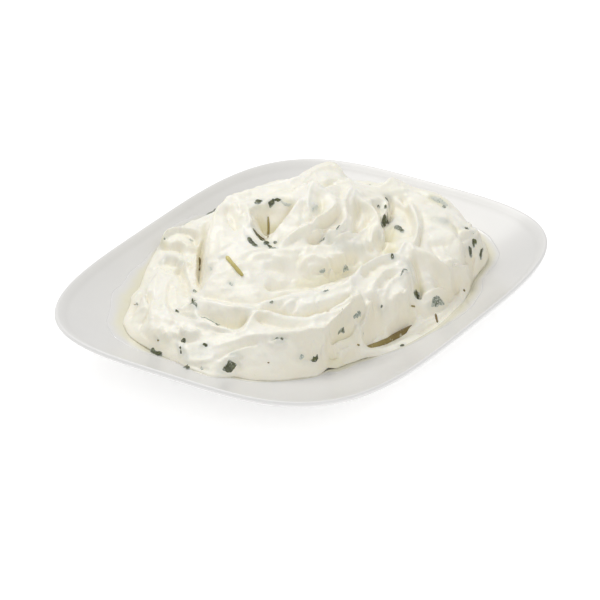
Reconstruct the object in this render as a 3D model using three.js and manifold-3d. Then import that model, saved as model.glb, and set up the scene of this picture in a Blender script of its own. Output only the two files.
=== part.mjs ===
// Purslane yogurt dip heaped on its shallow rounded-rectangle plate.
// Millimetres, +Z up. The origin is the middle of the plate's underside, and X runs along
// the plate's long side. The heap is written in a frame of its own, (u, v, z), that is
// turned about Z: u runs to the right and v away from somebody who looks at the served side.
import * as THREE from 'three';
import { mergeVertices } from 'three/addons/utils/BufferGeometryUtils.js';
import Module from 'manifold-3d';

const wasm = await Module();
wasm.setup();

// ---- driving dimensions -------------------------------------------------------------

const PLATE_LONG = 220;
const PLATE_SHORT = 172.8;
const PLATE_SQUARENESS = 3.7; // exponent of the superellipse |x/a|^n + |y/b|^n = 1
const RIM_HEIGHT = 24;
const FLOOR_TOP = 5.5; // top of the flat middle of the well
const FLOOR_REACH = 0.45; // the flat middle, as a share of the rim's outline
const WELL_CURVE = 1.9; // how late the well turns up: 1 is a cone
const PLATE_SECTORS = 72;

const HEAP_TURN = THREE.MathUtils.degToRad(57.7); // from u to the plate's long axis
const HEAP_SHIFT = [0.7, 1.1]; // the heap's own origin, in u and v from the plate's middle
const HEAP_CENTRE = [0, 6]; // where the heap's mesh has its middle, in u and v
const HEAP_CELLS = 58; // squares across the heap's top
const REST_GAP = 0.3; // the dip stands this far off the plate it rests on
const CUT_SECTORS = 36;
const CEILING = 4 * RIM_HEIGHT; // well above the heap
const OUTLINE_SPANS = 6; // points on the footprint's curve from one given point to the next
const STROKE_SPANS = 24; // the same on a stroke's curve
const WELD = 1e-4; // points this near to each other are one

const GRID_LOW = [-90, -78];
const GRID_HIGH = [90, 94];
const GRID_STEP = 1.4;
const GRID_LEVELS = 4;
const GRID_SWEEPS = [300, 160, 90, 60]; // from the coarsest grid to the finest
const OVER_RELAX = 1.8;
const THICKNESS_SWELL = 0.045; // curvature in 1/mm that the stiff dip keeps between strokes
const SPOON_SOFTNESS = 0.8; // mm, how far a stroke's edge is rounded

const STEM_GAP = 0.3;
const STEM_RADIUS = 1.5;
const STEM_SIDES = 8;
const STEM_SPANS = 2;
const ROD_TAPER = 0.75; // 0 is an even rod and 1 a rod that ends in points

const LEAF_SUNK = 1.3; // how deep a leaf's underside is buried
const LEAF_SHOWN = 0.6; // how far its upper face stands out
const LEAF_CELLS = [5, 2]; // along and across
const LEAF_TAPER = 0.8; // share of the width that is lost at both ends
const LEAF_WAVE = 0.15;
const SLIVER_RADIUS = 0.8;
const SLIVER_SIDES = 5;
const SLIVER_RISE = 0.2; // its middle line over the dip, in radii

// ---- the plate's section ------------------------------------------------------------

// Height of the well's surface over a point whose superellipse gauge is s (1 at the rim).
function wellHeight(s) {
  const t = Math.max(0, (s - FLOOR_REACH) / (1 - FLOOR_REACH));
  return FLOOR_TOP + (RIM_HEIGHT - FLOOR_TOP) * t ** WELL_CURVE;
}

const WELL_RINGS = [0.45, 0.56, 0.66, 0.75, 0.83, 0.9, 0.965];
// lip, outer wall and foot as [share of the rim's outline, height]
const UNDERSIDE = [
  [0.978, 23.8], [0.988, 24], [1, 22.9], [0.992, 21.5], [0.965, 19.6],
  [0.9, 15.9], [0.78, 9.7], [0.64, 3.9], [0.575, 0], [0.535, 0], [0.52, 1.6],
];

// ---- the heap's strokes, in mm as [u, v, z] -------------------------------------------

// Where the dip meets the plate, once round.
const FOOTPRINT = [
  [-82, -23], [-71, -42], [-54, -54], [-36, -65], [-22, -68.5], [-8, -68.5], [5, -65],
  [16, -56], [24, -47], [32, -40], [41, -34], [48, -25], [62, -9], [70, 4], [77, 20],
  [82, 38], [79, 53], [70, 64], [55, 75], [34, 82], [8, 85], [-16, 81], [-36, 73],
  [-52, 61], [-64, 46], [-71, 30], [-75, 14], [-80, -2], [-84, -14],
];

// Ridges that the spoon left, each a short run of points joined by a smooth curve.
const CRESTS = {
  // the outer ring at the left and the two lobes behind it
  outerRing: [[-57, -43, 22], [-64, -39, 21.5], [-70, -24, 20.5], [-70, -8, 20.5], [-64, 6, 20]],
  ringToe: [[-74, -30, 15], [-67, -43, 17.5], [-56, -47, 20.5]],
  backLobe: [[-66, 31, 22], [-62, 35, 26], [-55, 35, 27], [-49, 27, 26]],
  smallLobe: [[-68, 24, 18], [-64, 24, 20.5], [-58, 18, 23], [-56, 12, 22.5]],
  // the western shoulder, the top and the hollow
  westShoulder: [[-43, -8, 33], [-43, 8, 37], [-40, 24, 42], [-30, 36, 44.5]],
  topBack: [[-30, 36, 44.5], [-19, 38, 46.5], [-7, 43, 47.5], [-1, 50, 47]],
  dentEast: [[-32, 27, 44], [-28, 11, 41], [-25, 3, 39.5]],
  hollowWestRim: [[-27, 26, 45], [-26, 11, 42], [-22, 1, 38.5], [-16, -3, 36.5]],
  hollowBackRim: [[-27, 32, 45.5], [-20, 25, 45], [-12, 30, 47], [-4, 25, 48]],
  hollowEastRim: [[-3, 21, 48.5], [-8, 12, 43], [-13, 5, 39], [-16, -2, 37]],
  // the two peaks and the ribbons that run down from them
  firstPeak: [[3, 34, 53.6], [6, 29, 51], [11, 23, 48.5], [13, 18, 48]],
  firstPeakWest: [[3, 34, 53.6], [-1, 22, 49], [-3, 12, 45]],
  firstRibbon: [[13, 17, 48], [7, 10, 46], [-1, 4, 44], [-12, -3, 38]],
  secondPeak: [[20, 35, 47.5], [17, 22, 46], [15, 8, 43], [7, 4, 42], [-5, -2, 38.5]],
  secondPeakEast: [[21, 35, 47], [26, 28, 43], [31, 21, 39.5], [27, 7, 35]],
  ribbonEnd: [[20, 15, 42], [20, 10, 40.5], [14, 5, 41.5]],
  farBump: [[-2, 49, 46.5], [4, 61, 46.5], [12, 65, 46], [17, 59, 45]],
  farFold: [[6, 45, 46.5], [18, 46, 45]],
  // the middle slope
  middleKnob: [[-2, -10, 34], [4, -9, 35], [11, -13, 32.5]],
  middleWest: [[-27, -12, 36], [-18, -8, 37], [-10, -10, 36]],
  channelLine: [[-12, -27, 28], [3, -23, 27.5], [13, -18, 28]],
  // the folds across the front
  leafBand: [[-48, -33, 26], [-34, -43, 28], [-22, -43, 28]],
  leafBandLip: [[-53, -34, 23], [-40, -50, 24], [-29, -54, 23.5], [-25, -53, 25]],
  longFold: [
    [-20, -39, 29], [-10, -35, 30], [7, -31, 30.5], [20, -25, 32.5], [28, -11, 33.5],
    [40, -3, 32.5], [44, 6, 34.5], [47, 0, 33.5],
  ],
  frontFold: [
    [-31, -56, 23], [-25, -49, 26.5], [-19, -45, 28], [-7, -49, 27], [5, -47, 27],
    [21, -35, 30],
  ],
  frontEdge: [[-40, -54, 21], [-26, -57, 23.5], [-3, -57, 24.5], [7, -59, 25]],
  frontCorner: [[7, -59, 25], [8, -61, 17.5], [11, -61, 8.5]],
  scoopTop: [[7, -59, 25], [14, -50, 27], [24, -35, 30.5]],
  scoopFoot: [[9, -60, 18.5], [13, -58, 19.5], [21, -51, 19]],
  // the eastern front
  leafRib: [[22, -53, 22], [24, -48, 25], [28, -37, 28]],
  eastFold: [[24, -29, 30], [30, -17, 31], [39, -11, 30.5], [44, -16, 27.5]],
  eastFoldLow: [[29, -29, 29], [35, -18, 30]],
  eastBumps: [[33, -34, 20], [38, -26, 23], [43, -21, 25]],
  skirtRidge: [[49, -18, 13], [54, -14, 14], [60, -7, 13.5]],
  pocketLip: [[47, 0, 33.5], [52, 4, 32.5], [57, 0, 29], [63, -3, 23.5], [63, -6, 16.5]],
  outerLip: [[63, 4, 27], [67, 3, 24.5], [73, 6, 17.5]],
  leafSlab: [[44, -3, 30.5], [46, -13, 25], [46, -16, 20.5]],
  eastShelf: [[52, -12, 16.5], [61, -6, 17]],
  // the eastern back
  leafLump: [[27, 33, 42], [33, 42, 40], [37, 38, 37.5], [34, 28, 36]],
  eastRidge: [[41, 48, 37.5], [48, 34, 36], [50, 20, 34], [49, 12, 33]],
  eastCrown: [[34, 59, 40], [38, 64, 40.5], [46, 59, 38.5], [63, 52, 35], [70, 44, 30], [73, 39, 27]],
  eastBulge: [[55, 23, 31.5], [61, 25, 32], [68, 18, 27], [66, 14, 24.5]],
  eastEnd: [[72, 29, 27], [77, 33, 24], [80, 26, 15.5], [77, 22, 12.5]],
  // the side away from the viewer, which carries on the ring of the other sides
  backRing: [[-47, 34, 31], [-38, 50, 30], [-18, 64, 32], [10, 70, 34]],
  backRingEast: [[10, 70, 34], [34, 70, 32.5], [55, 62, 30], [68, 50, 26]],
  backInner: [[-34, 46, 38], [-20, 54, 39], [-4, 60, 41]],
};

// Creases and hollows between the ridges.
const CREASES = {
  ringInside: [[-63, 17, 17.5], [-55, -1, 20], [-52, -19, 20.5], [-56, -32, 21]],
  lobeGap: [[-66, 29, 19.5], [-57, 22, 23], [-54, 10, 22]],
  westCleft: [[-46, 23, 29], [-48, 12, 23.5], [-48, -7, 23], [-47, -18, 24]],
  westDent: [[-36, 26, 41.5], [-34, 18, 40.5], [-31, 11, 39.5]],
  hollowFloor: [[-21, 23, 37], [-17, 19, 31], [-15, 21, 31.5], [-8, 24, 41]],
  behindHollow: [[-29, 31, 44], [-17, 35, 46], [-5, 39, 47]],
  peakScoop: [[5, 27, 49], [7, 22, 46.5], [4, 15, 45]],
  peakGap: [[16, 44, 45], [15, 34, 46], [15, 24, 46.5]],
  ribbonGap: [[14, 19, 44.5], [8, 9, 42.5], [-1, 4, 41], [-10, -3, 37.5]],
  ribbonFoot: [[19, 10, 39], [10, 5, 38.5], [1, 1, 38]],
  peakFace: [[23, 29, 42.5], [22, 20, 39.5], [20, 10, 37]],
  underPeak: [[32, 15, 33.5], [31, 9, 32.5], [28, 4, 31.5]],
  knobFoot: [[-3, -14, 31], [7, -14, 30.5]],
  channel: [
    [-45, -26, 25], [-29, -34, 26.5], [-15, -31, 27], [0, -24, 26.5], [15, -18, 27],
    [25, -5, 29.5], [38, 5, 30],
  ],
  channelBack: [[-17, -24, 27.5], [2, -19, 27], [22, -6, 28]],
  bandFoot: [[-56, -32, 21], [-46, -40, 24], [-35, -47, 22], [-30, -49, 22]],
  foldGap: [[-22, -42, 26.5], [-10, -44, 26], [3, -44, 25.5], [19, -34, 28]],
  frontFoldFoot: [[-21, -47, 25], [-10, -53, 24], [4, -54, 24]],
  scoop: [[9, -57, 20.5], [16, -51, 22], [23, -37, 24.5]],
  cave: [[10, -58, 9.5], [16, -56, 10]],
  ribWest: [[22, -45, 22.5], [26, -34, 27.5]],
  ribEast: [[26, -48, 19], [29, -38, 24], [31, -33, 26]],
  eastFoldGap: [[32, -25, 27.5], [38, -14, 29]],
  pit: [[47, -1, 29.5], [50, -8, 22], [52, -11, 18.5]],
  valley: [[32, 4, 30], [36, 19, 31.5], [38, 26, 32]],
  lumpGap: [[38, 46, 36.5], [37, 33, 34], [35, 21, 32.5]],
  ridgeWest: [[41, 43, 35], [47, 28, 33], [47, 18, 32]],
  ridgeEast: [[51, 36, 34.5], [51, 20, 32], [50, 12, 31]],
  moundFoot: [[51, 8, 30.5], [62, 7, 25.5], [72, 13, 19]],
  endCleft: [[71, 21, 24], [73, 18, 15.5]],
  backGap: [[-41, 38, 29.5], [-29, 55, 29], [-8, 65, 32], [18, 64, 31], [40, 64, 30]],
};

// Heights on the smooth slopes between them.
const SLOPES = {
  lobeTop: [[-61, 27, 23.5], [-53, 20, 25.5]],
  lobeFoot: [[-54, 9, 24], [-50, -7, 22.5]],
  westFlank: [[-45, -23, 27], [-36, -17, 33], [-29, -15, 35.5]],
  westTop: [[-38, -3, 37.5], [-38, 8, 40], [-37, 19, 41.5]],
  middleTop: [[-8, -6, 36.5], [8, -6, 35.5], [17, -5, 34.5]],
  middleFoot: [[-34, -24, 30], [-17, -23, 30]],
  middleShelf: [[-2, -15, 29.5], [15, -8, 29], [21, -2, 30]],
  greyBelly: [[14, 1, 36.5], [24, 3, 34.5]],
  scoopFace: [[16, -51, 24], [20, -44, 25.5]],
  foldBelly: [[-9, -40, 28], [4, -39, 29], [17, -33, 30.5]],
  skirtUpper: [[29, -39, 15], [34, -34, 15.5], [40, -27, 16.5]],
  skirtLower: [[27, -42, 10.5], [33, -36, 11.5], [40, -30, 12], [48, -22, 12]],
  skirtEast: [[52, -17, 11.5], [63, -4, 12], [69, 6, 12]],
  pocketFloor: [[52, -2, 28], [59, -8, 20.5]],
  valleyFloor: [[42, 18, 31.5], [45, 40, 33.5]],
  eastTop: [[54, 46, 35.5], [66, 37, 32]],
  eastFace: [[56, 16, 29], [62, 18, 27.5]],
  endFace: [[76, 26, 20.5], [76, 24, 16.5]],
  backSlope: [[22, 48, 43.5], [32, 52, 41]],
};

// The long thick stem at the foot of the smooth front slope.
const LONG_STEM = [[23.5, -46.5, 9.2], [35, -37.5, 9.4], [48, -25, 10.4]];

// Chopped leaves that show: [u, v, heading in degrees, length, width, lift of the far edge].
const LEAVES = [
  [-34, -64.5, 15, 9, 6, 1.2], [-42, -40, 20, 13, 6, 0], [-54, -31, 35, 9, 5, 0.6],
  [-65, 33, 60, 7, 4, 0.5], [-16, 26.5, 0, 7, 3, 0.8], [-22, 27, 10, 4, 3, 0.5],
  [-26, 6, -60, 8, 3, 0.5], [-23.5, -0.7, -30, 7, 4, 0.6], [-15, 0.7, 10, 8, 4, 0.8],
  [21, 4.5, 30, 10, 7, 0], [37.6, 40, 80, 8, 5, 1], [34.5, 28, 20, 6, 5, 0.8],
  [74.5, 31, 50, 9, 5, 1.2], [79, 32, 70, 7, 4, 0.8], [45, -8, -70, 13, 6, 0.5],
  [55, -13, 40, 7, 4, 0.4], [19, -47, 50, 14, 6, 0], [-46, -57, 10, 8, 5, 0.4],
  [-53, -53, 80, 5, 4, 0.5], [3.5, -62, 30, 5, 3, 0.8], [61, 37, 20, 7, 4, 0],
  [5, 19, 75, 7, 4, 0], [30, 52, 40, 9, 5, 0.8], [-30, 50, 140, 9, 5, 0.6],
];

// Thin slivers of stem: [u, v, heading in degrees, length].
const SLIVERS = [
  [-33, -15, -52, 15], [-18, 20, 90, 8], [38, -2, 80, 5], [41, 25, -50, 6],
  [57, -13, -80, 6], [46.7, -20.4, 60, 5], [-1, -63, 20, 5], [10, 72, 10, 9],
];

// ---- small helpers --------------------------------------------------------------------

const cosTurn = Math.cos(HEAP_TURN);
const sinTurn = Math.sin(HEAP_TURN);

// A point of the heap's frame in the plate's frame.
function toPlate([u, v, z = 0]) {
  const right = u + HEAP_SHIFT[0];
  const away = v + HEAP_SHIFT[1];
  return [right * cosTurn + away * sinTurn, -right * sinTurn + away * cosTurn, z];
}

// 1 on the rim's outline, and inside it the share of the way out to the rim.
function plateGauge(x, y) {
  const long = Math.abs((2 * x) / PLATE_LONG) ** PLATE_SQUARENESS;
  const short = Math.abs((2 * y) / PLATE_SHORT) ** PLATE_SQUARENESS;
  return (long + short) ** (1 / PLATE_SQUARENESS);
}

function wellUnder(u, v) {
  const [x, y] = toPlate([u, v]);
  return wellHeight(plateGauge(x, y));
}

function smoothPath(points, perSpan, closed = false) {
  const curve = new THREE.CatmullRomCurve3(
    points.map(([u, v, z = 0]) => new THREE.Vector3(u, v, z)), closed, 'centripetal');
  return curve.getPoints(perSpan * points.length);
}

// A closed mesh from a list of points and triangles.
function meshGeometry(points, triangles) {
  const geometry = new THREE.BufferGeometry();
  geometry.setAttribute('position', new THREE.Float32BufferAttribute(points.flat(), 3));
  geometry.setIndex(triangles.flat());
  return geometry;
}

function toSolid(geometry) {
  const bare = geometry.clone();
  bare.deleteAttribute('normal');
  bare.deleteAttribute('uv');
  const merged = mergeVertices(bare, WELD);
  return new wasm.Manifold(new wasm.Mesh({
    numProp: 3,
    vertProperties: new Float32Array(merged.attributes.position.array),
    triVerts: new Uint32Array(merged.index.array),
  }));
}

function fromSolid(solid) {
  const mesh = solid.getMesh();
  const geometry = new THREE.BufferGeometry();
  geometry.setAttribute('position', new THREE.BufferAttribute(mesh.vertProperties, 3));
  geometry.setIndex(new THREE.BufferAttribute(mesh.triVerts, 1));
  return geometry;
}

// A solid of rings: each ring is a closed loop of as many points, joined to the next one,
// with the first and the last ring closed by a fan to the middle point given for it.
function ringSolid(rings, firstMiddle, lastMiddle) {
  const count = rings[0].length;
  const points = [firstMiddle, ...rings.flat(), lastMiddle];
  const last = points.length - 1;
  const at = (ring, k) => 1 + ring * count + (k % count);
  const triangles = [];
  for (let k = 0; k < count; k += 1) {
    triangles.push([0, at(0, k), at(0, k + 1)]);
    triangles.push([last, at(rings.length - 1, k + 1), at(rings.length - 1, k)]);
    for (let ring = 0; ring + 1 < rings.length; ring += 1) {
      triangles.push([at(ring, k), at(ring + 1, k), at(ring + 1, k + 1)]);
      triangles.push([at(ring, k), at(ring + 1, k + 1), at(ring, k + 1)]);
    }
  }
  return meshGeometry(points, triangles);
}

// One turn round the rim's outline at a share of its size, at one height.
function plateRing(share, z, sectors) {
  const ring = [];
  for (let k = 0; k < sectors; k += 1) {
    const angle = (2 * Math.PI * k) / sectors;
    const out = share / plateGauge(Math.cos(angle), Math.sin(angle));
    ring.push([out * Math.cos(angle), out * Math.sin(angle), z]);
  }
  return ring;
}

// ---- the plate -------------------------------------------------------------------------

function plateGeometry() {
  const well = WELL_RINGS.map((s) => plateRing(s, wellHeight(s), PLATE_SECTORS));
  const rest = UNDERSIDE.map(([s, z]) => plateRing(s, z, PLATE_SECTORS));
  const recess = UNDERSIDE[UNDERSIDE.length - 1][1];
  return ringSolid([...well, ...rest], [0, 0, FLOOR_TOP], [0, 0, recess]);
}

// The room inside the well, lifted by the resting gap: what the dip may fill.
function roomInWell() {
  const rings = WELL_RINGS.map(
    (s) => plateRing(s, wellHeight(s) + REST_GAP, CUT_SECTORS));
  rings.push(plateRing(WELL_RINGS[WELL_RINGS.length - 1], CEILING, CUT_SECTORS));
  rings.reverse();
  return ringSolid(rings, [0, 0, CEILING], [0, 0, FLOOR_TOP + REST_GAP]);
}

// ---- the heap's surface ----------------------------------------------------------------

// The footprint as a distance from the heap's middle in every direction.
const footprintPolar = smoothPath(FOOTPRINT, OUTLINE_SPANS, true).map((p) => {
  const du = p.x - HEAP_CENTRE[0];
  const dv = p.y - HEAP_CENTRE[1];
  return [Math.atan2(dv, du), Math.hypot(du, dv)];
}).sort((a, b) => a[0] - b[0]);

function footprintReach(angle) {
  const turn = 2 * Math.PI;
  const a = THREE.MathUtils.euclideanModulo(angle + Math.PI, turn) - Math.PI;
  let high = footprintPolar.findIndex((entry) => entry[0] > a);
  if (high < 0) high = 0;
  const low = (high + footprintPolar.length - 1) % footprintPolar.length;
  const [a0, r0] = footprintPolar[low];
  const [a1, r1] = footprintPolar[high];
  const span = THREE.MathUtils.euclideanModulo(a1 - a0, turn);
  const part = THREE.MathUtils.euclideanModulo(a - a0, turn) / Math.max(span, 1e-9);
  return r0 + (r1 - r0) * Math.min(part, 1);
}

function insideFootprint(u, v) {
  const du = u - HEAP_CENTRE[0];
  const dv = v - HEAP_CENTRE[1];
  return Math.hypot(du, dv) < footprintReach(Math.atan2(dv, du));
}

// A square grid of heights with bilinear reading.
class HeightGrid {
  constructor(step) {
    this.step = step;
    this.nu = Math.ceil((GRID_HIGH[0] - GRID_LOW[0]) / step) + 1;
    this.nv = Math.ceil((GRID_HIGH[1] - GRID_LOW[1]) / step) + 1;
    this.z = new Float64Array(this.nu * this.nv);
  }

  read(u, v) {
    const a = THREE.MathUtils.clamp((u - GRID_LOW[0]) / this.step, 0, this.nu - 1.001);
    const b = THREE.MathUtils.clamp((v - GRID_LOW[1]) / this.step, 0, this.nv - 1.001);
    const i = Math.floor(a);
    const j = Math.floor(b);
    const k = j * this.nu + i;
    const near = this.z[k] + (this.z[k + 1] - this.z[k]) * (a - i);
    const far = this.z[k + this.nu] + (this.z[k + this.nu + 1] - this.z[k + this.nu]) * (a - i);
    return near + (far - near) * (b - j);
  }
}

// The heap is a film of dip drawn over the strokes: between them every point takes the
// mean height of its neighbours plus the swell, and off the footprint it lies on the well.
function drawnFilm(paths) {
  let coarse = null;
  for (let level = GRID_LEVELS - 1; level >= 0; level -= 1) {
    const grid = new HeightGrid(GRID_STEP * 2 ** level);
    const { nu, nv, step } = grid;
    const held = new Float64Array(nu * nv);
    const hits = new Float64Array(nu * nv);
    for (const path of paths) {
      for (const point of path) {
        const i = Math.round((point.x - GRID_LOW[0]) / step);
        const j = Math.round((point.y - GRID_LOW[1]) / step);
        held[j * nu + i] += point.z;
        hits[j * nu + i] += 1;
      }
    }
    for (let j = 0; j < nv; j += 1) {
      for (let i = 0; i < nu; i += 1) {
        const u = GRID_LOW[0] + i * step;
        const v = GRID_LOW[1] + j * step;
        const k = j * nu + i;
        if (!insideFootprint(u, v)) {
          hits[k] = 1;
          held[k] = wellUnder(u, v);
        }
        if (hits[k] > 0) grid.z[k] = held[k] / hits[k];
        else grid.z[k] = coarse ? coarse.read(u, v) : RIM_HEIGHT;
      }
    }
    const swell = (THICKNESS_SWELL * step * step) / 4;
    for (let sweep = 0; sweep < GRID_SWEEPS[GRID_LEVELS - 1 - level]; sweep += 1) {
      for (let j = 1; j < nv - 1; j += 1) {
        for (let i = 1; i < nu - 1; i += 1) {
          const k = j * nu + i;
          if (hits[k] > 0) continue;
          const mean = (grid.z[k - 1] + grid.z[k + 1] + grid.z[k - nu] + grid.z[k + nu]) / 4;
          grid.z[k] += OVER_RELAX * (mean + swell - grid.z[k]);
        }
      }
    }
    coarse = grid;
  }
  return coarse;
}

// A round brush over the grid, which softens every edge by the same few tenths.
function softened(grid, radius) {
  const soft = new HeightGrid(grid.step);
  const edge = Math.exp(-0.5 * (grid.step / radius) ** 2);
  const total = 1 + 4 * edge + 4 * edge * edge;
  const { nu, nv } = grid;
  for (let j = 0; j < nv; j += 1) {
    for (let i = 0; i < nu; i += 1) {
      let sum = 0;
      for (let dj = -1; dj <= 1; dj += 1) {
        for (let di = -1; di <= 1; di += 1) {
          const ii = THREE.MathUtils.clamp(i + di, 0, nu - 1);
          const jj = THREE.MathUtils.clamp(j + dj, 0, nv - 1);
          sum += grid.z[jj * nu + ii] * edge ** (Math.abs(di) + Math.abs(dj));
        }
      }
      soft.z[j * nu + i] = sum / total;
    }
  }
  return soft;
}

const STROKES = [CRESTS, CREASES, SLOPES].flatMap((group) => Object.values(group));
const strokePaths = STROKES.map((points) => smoothPath(points, STROKE_SPANS));
const heap = softened(drawnFilm(strokePaths), SPOON_SOFTNESS);

// The heap as a solid: a square mesh bent into the footprint for its top, and straight
// sides down to the plate's underside, which the well then cuts off.
function heapBlank() {
  const n = HEAP_CELLS;
  const points = [];
  const triangles = [];
  const at = (i, j) => j * (n + 1) + i;
  for (let j = 0; j <= n; j += 1) {
    for (let i = 0; i <= n; i += 1) {
      const a = (2 * i) / n - 1;
      const b = (2 * j) / n - 1;
      const du = a * Math.sqrt(1 - (b * b) / 2);
      const dv = b * Math.sqrt(1 - (a * a) / 2);
      const reach = footprintReach(Math.atan2(dv, du));
      const u = HEAP_CENTRE[0] + du * reach;
      const v = HEAP_CENTRE[1] + dv * reach;
      points.push(toPlate([u, v, heap.read(u, v)]));
    }
  }
  for (let j = 0; j < n; j += 1) {
    for (let i = 0; i < n; i += 1) {
      triangles.push([at(i, j), at(i + 1, j), at(i + 1, j + 1)]);
      triangles.push([at(i, j), at(i + 1, j + 1), at(i, j + 1)]);
    }
  }
  const edge = [];
  for (let i = 0; i < n; i += 1) edge.push(at(i, 0));
  for (let j = 0; j < n; j += 1) edge.push(at(n, j));
  for (let i = n; i > 0; i -= 1) edge.push(at(i, n));
  for (let j = n; j > 0; j -= 1) edge.push(at(0, j));
  const foot = points.length;
  for (const k of edge) points.push([points[k][0], points[k][1], 0]);
  const middle = points.length;
  points.push(toPlate([...HEAP_CENTRE, 0]));
  edge.forEach((top, k) => {
    const next = (k + 1) % edge.length;
    triangles.push([top, foot + k, foot + next]);
    triangles.push([top, foot + next, edge[next]]);
    triangles.push([middle, foot + next, foot + k]);
  });
  return meshGeometry(points, triangles);
}

// ---- purslane --------------------------------------------------------------------------

// A leaf's outline is a lens. Both faces have the same squares and follow the heap, the
// lower one buried and the upper one standing out, more towards the far edge by the lift.
function leafGeometry([u0, v0, heading, length, width, lift]) {
  const [along, across] = LEAF_CELLS;
  const turn = THREE.MathUtils.degToRad(heading);
  const upper = [];
  const lower = [];
  for (let j = 0; j <= across; j += 1) {
    for (let i = 0; i <= along; i += 1) {
      const s = (2 * i) / along - 1;
      const t = (2 * j) / across - 1;
      const half = (width / 2) * (1 - LEAF_TAPER * s * s);
      const p = (length / 2) * s;
      const q = half * t;
      const u = u0 + p * Math.cos(turn) - q * Math.sin(turn);
      const v = v0 + p * Math.sin(turn) + q * Math.cos(turn);
      const wave = LEAF_WAVE * Math.sin(3 * s + 2 * t);
      const ground = heap.read(u, v);
      upper.push(toPlate([u, v, ground + LEAF_SHOWN + wave + (lift * (t + 1)) / 2]));
      lower.push(toPlate([u, v, ground - LEAF_SUNK + wave]));
    }
  }
  const count = upper.length;
  const at = (i, j) => j * (along + 1) + i;
  const triangles = [];
  for (let j = 0; j < across; j += 1) {
    for (let i = 0; i < along; i += 1) {
      const [a, b, c, d] = [at(i, j), at(i + 1, j), at(i + 1, j + 1), at(i, j + 1)];
      triangles.push([a, b, c], [a, c, d]);
      triangles.push([count + a, count + c, count + b], [count + a, count + d, count + c]);
    }
  }
  const edge = [];
  for (let i = 0; i < along; i += 1) edge.push(at(i, 0));
  for (let j = 0; j < across; j += 1) edge.push(at(along, j));
  for (let i = along; i > 0; i -= 1) edge.push(at(i, across));
  for (let j = across; j > 0; j -= 1) edge.push(at(0, j));
  edge.forEach((a, k) => {
    const b = edge[(k + 1) % edge.length];
    triangles.push([a, count + a, count + b], [a, count + b, b]);
  });
  return meshGeometry([...upper, ...lower], triangles);
}

// A rod of rings across a path in the heap's frame, thinner towards both ends.
function rodGeometry(path, radius, sides) {
  const rings = path.map((point, k) => {
    const before = path[Math.max(k - 1, 0)];
    const after = path[Math.min(k + 1, path.length - 1)];
    const along = after.clone().sub(before).normalize();
    const side = new THREE.Vector3(-along.y, along.x, 0).normalize();
    const up = new THREE.Vector3().crossVectors(along, side);
    const share = (2 * k) / (path.length - 1) - 1;
    const thick = radius * Math.sqrt(1 - ROD_TAPER * share * share);
    const ring = [];
    for (let m = 0; m < sides; m += 1) {
      const angle = (2 * Math.PI * m) / sides;
      const p = point.clone()
        .addScaledVector(side, thick * Math.cos(angle))
        .addScaledVector(up, thick * Math.sin(angle));
      ring.push(toPlate([p.x, p.y, p.z]));
    }
    return ring;
  });
  const first = path[0];
  const last = path[path.length - 1];
  rings.reverse();
  return ringSolid(
    rings, toPlate([last.x, last.y, last.z]), toPlate([first.x, first.y, first.z]));
}

function sliverGeometry([u0, v0, heading, length]) {
  const turn = THREE.MathUtils.degToRad(heading);
  const path = [-1, -1 / 3, 1 / 3, 1].map((share) => {
    const u = u0 + (length / 2) * share * Math.cos(turn);
    const v = v0 + (length / 2) * share * Math.sin(turn);
    return new THREE.Vector3(u, v, heap.read(u, v) + SLIVER_RISE * SLIVER_RADIUS);
  });
  return rodGeometry(path, SLIVER_RADIUS, SLIVER_SIDES);
}

function stemGeometry(radius, longer) {
  const points = LONG_STEM.map((point) => point.slice());
  const run = new THREE.Vector3(...points[2]).sub(new THREE.Vector3(...points[0])).normalize();
  [[0, -longer], [2, longer]].forEach(([k, by]) => {
    points[k] = [points[k][0] + run.x * by, points[k][1] + run.y * by, points[k][2] + run.z * by];
  });
  return rodGeometry(smoothPath(points, STEM_SPANS), radius, STEM_SIDES);
}

// The largest shell of a solid: a hollow that a leaf closes over is filled, and a scrap goes.
function outerShell(solid) {
  return solid.decompose().reduce((a, b) => (b.volume() > a.volume() ? b : a));
}

function dipGeometry() {
  const room = toSolid(roomInWell());
  let dip = toSolid(heapBlank());
  for (const leaf of LEAVES) dip = dip.add(toSolid(leafGeometry(leaf)));
  for (const sliver of SLIVERS) dip = dip.add(toSolid(sliverGeometry(sliver)));
  const stemBed = toSolid(stemGeometry(STEM_RADIUS + STEM_GAP, 2 * STEM_GAP));
  return fromSolid(outerShell(dip.intersect(room).subtract(stemBed)));
}

// ---- the object ------------------------------------------------------------------------

const whiteGlaze = new THREE.MeshStandardMaterial({ color: 0xe6e5e2, roughness: 0.14, metalness: 0 });
const yogurt = new THREE.MeshStandardMaterial({ color: 0xf6f4e6, roughness: 0.35, metalness: 0 });
const stemSkin = new THREE.MeshStandardMaterial({ color: 0x8a7a3e, roughness: 0.45, metalness: 0 });

function piece(name, geometry, material) {
  const mesh = new THREE.Mesh(geometry, material);
  mesh.name = name;
  return mesh;
}

const purslaneDip = new THREE.Group();
purslaneDip.add(piece('plate', plateGeometry(), whiteGlaze));
purslaneDip.add(piece('dip', dipGeometry(), yogurt));
purslaneDip.add(piece('purslane_stem', stemGeometry(STEM_RADIUS, 0), stemSkin));

export default purslaneDip;
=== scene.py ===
import math
from functools import lru_cache

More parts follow.
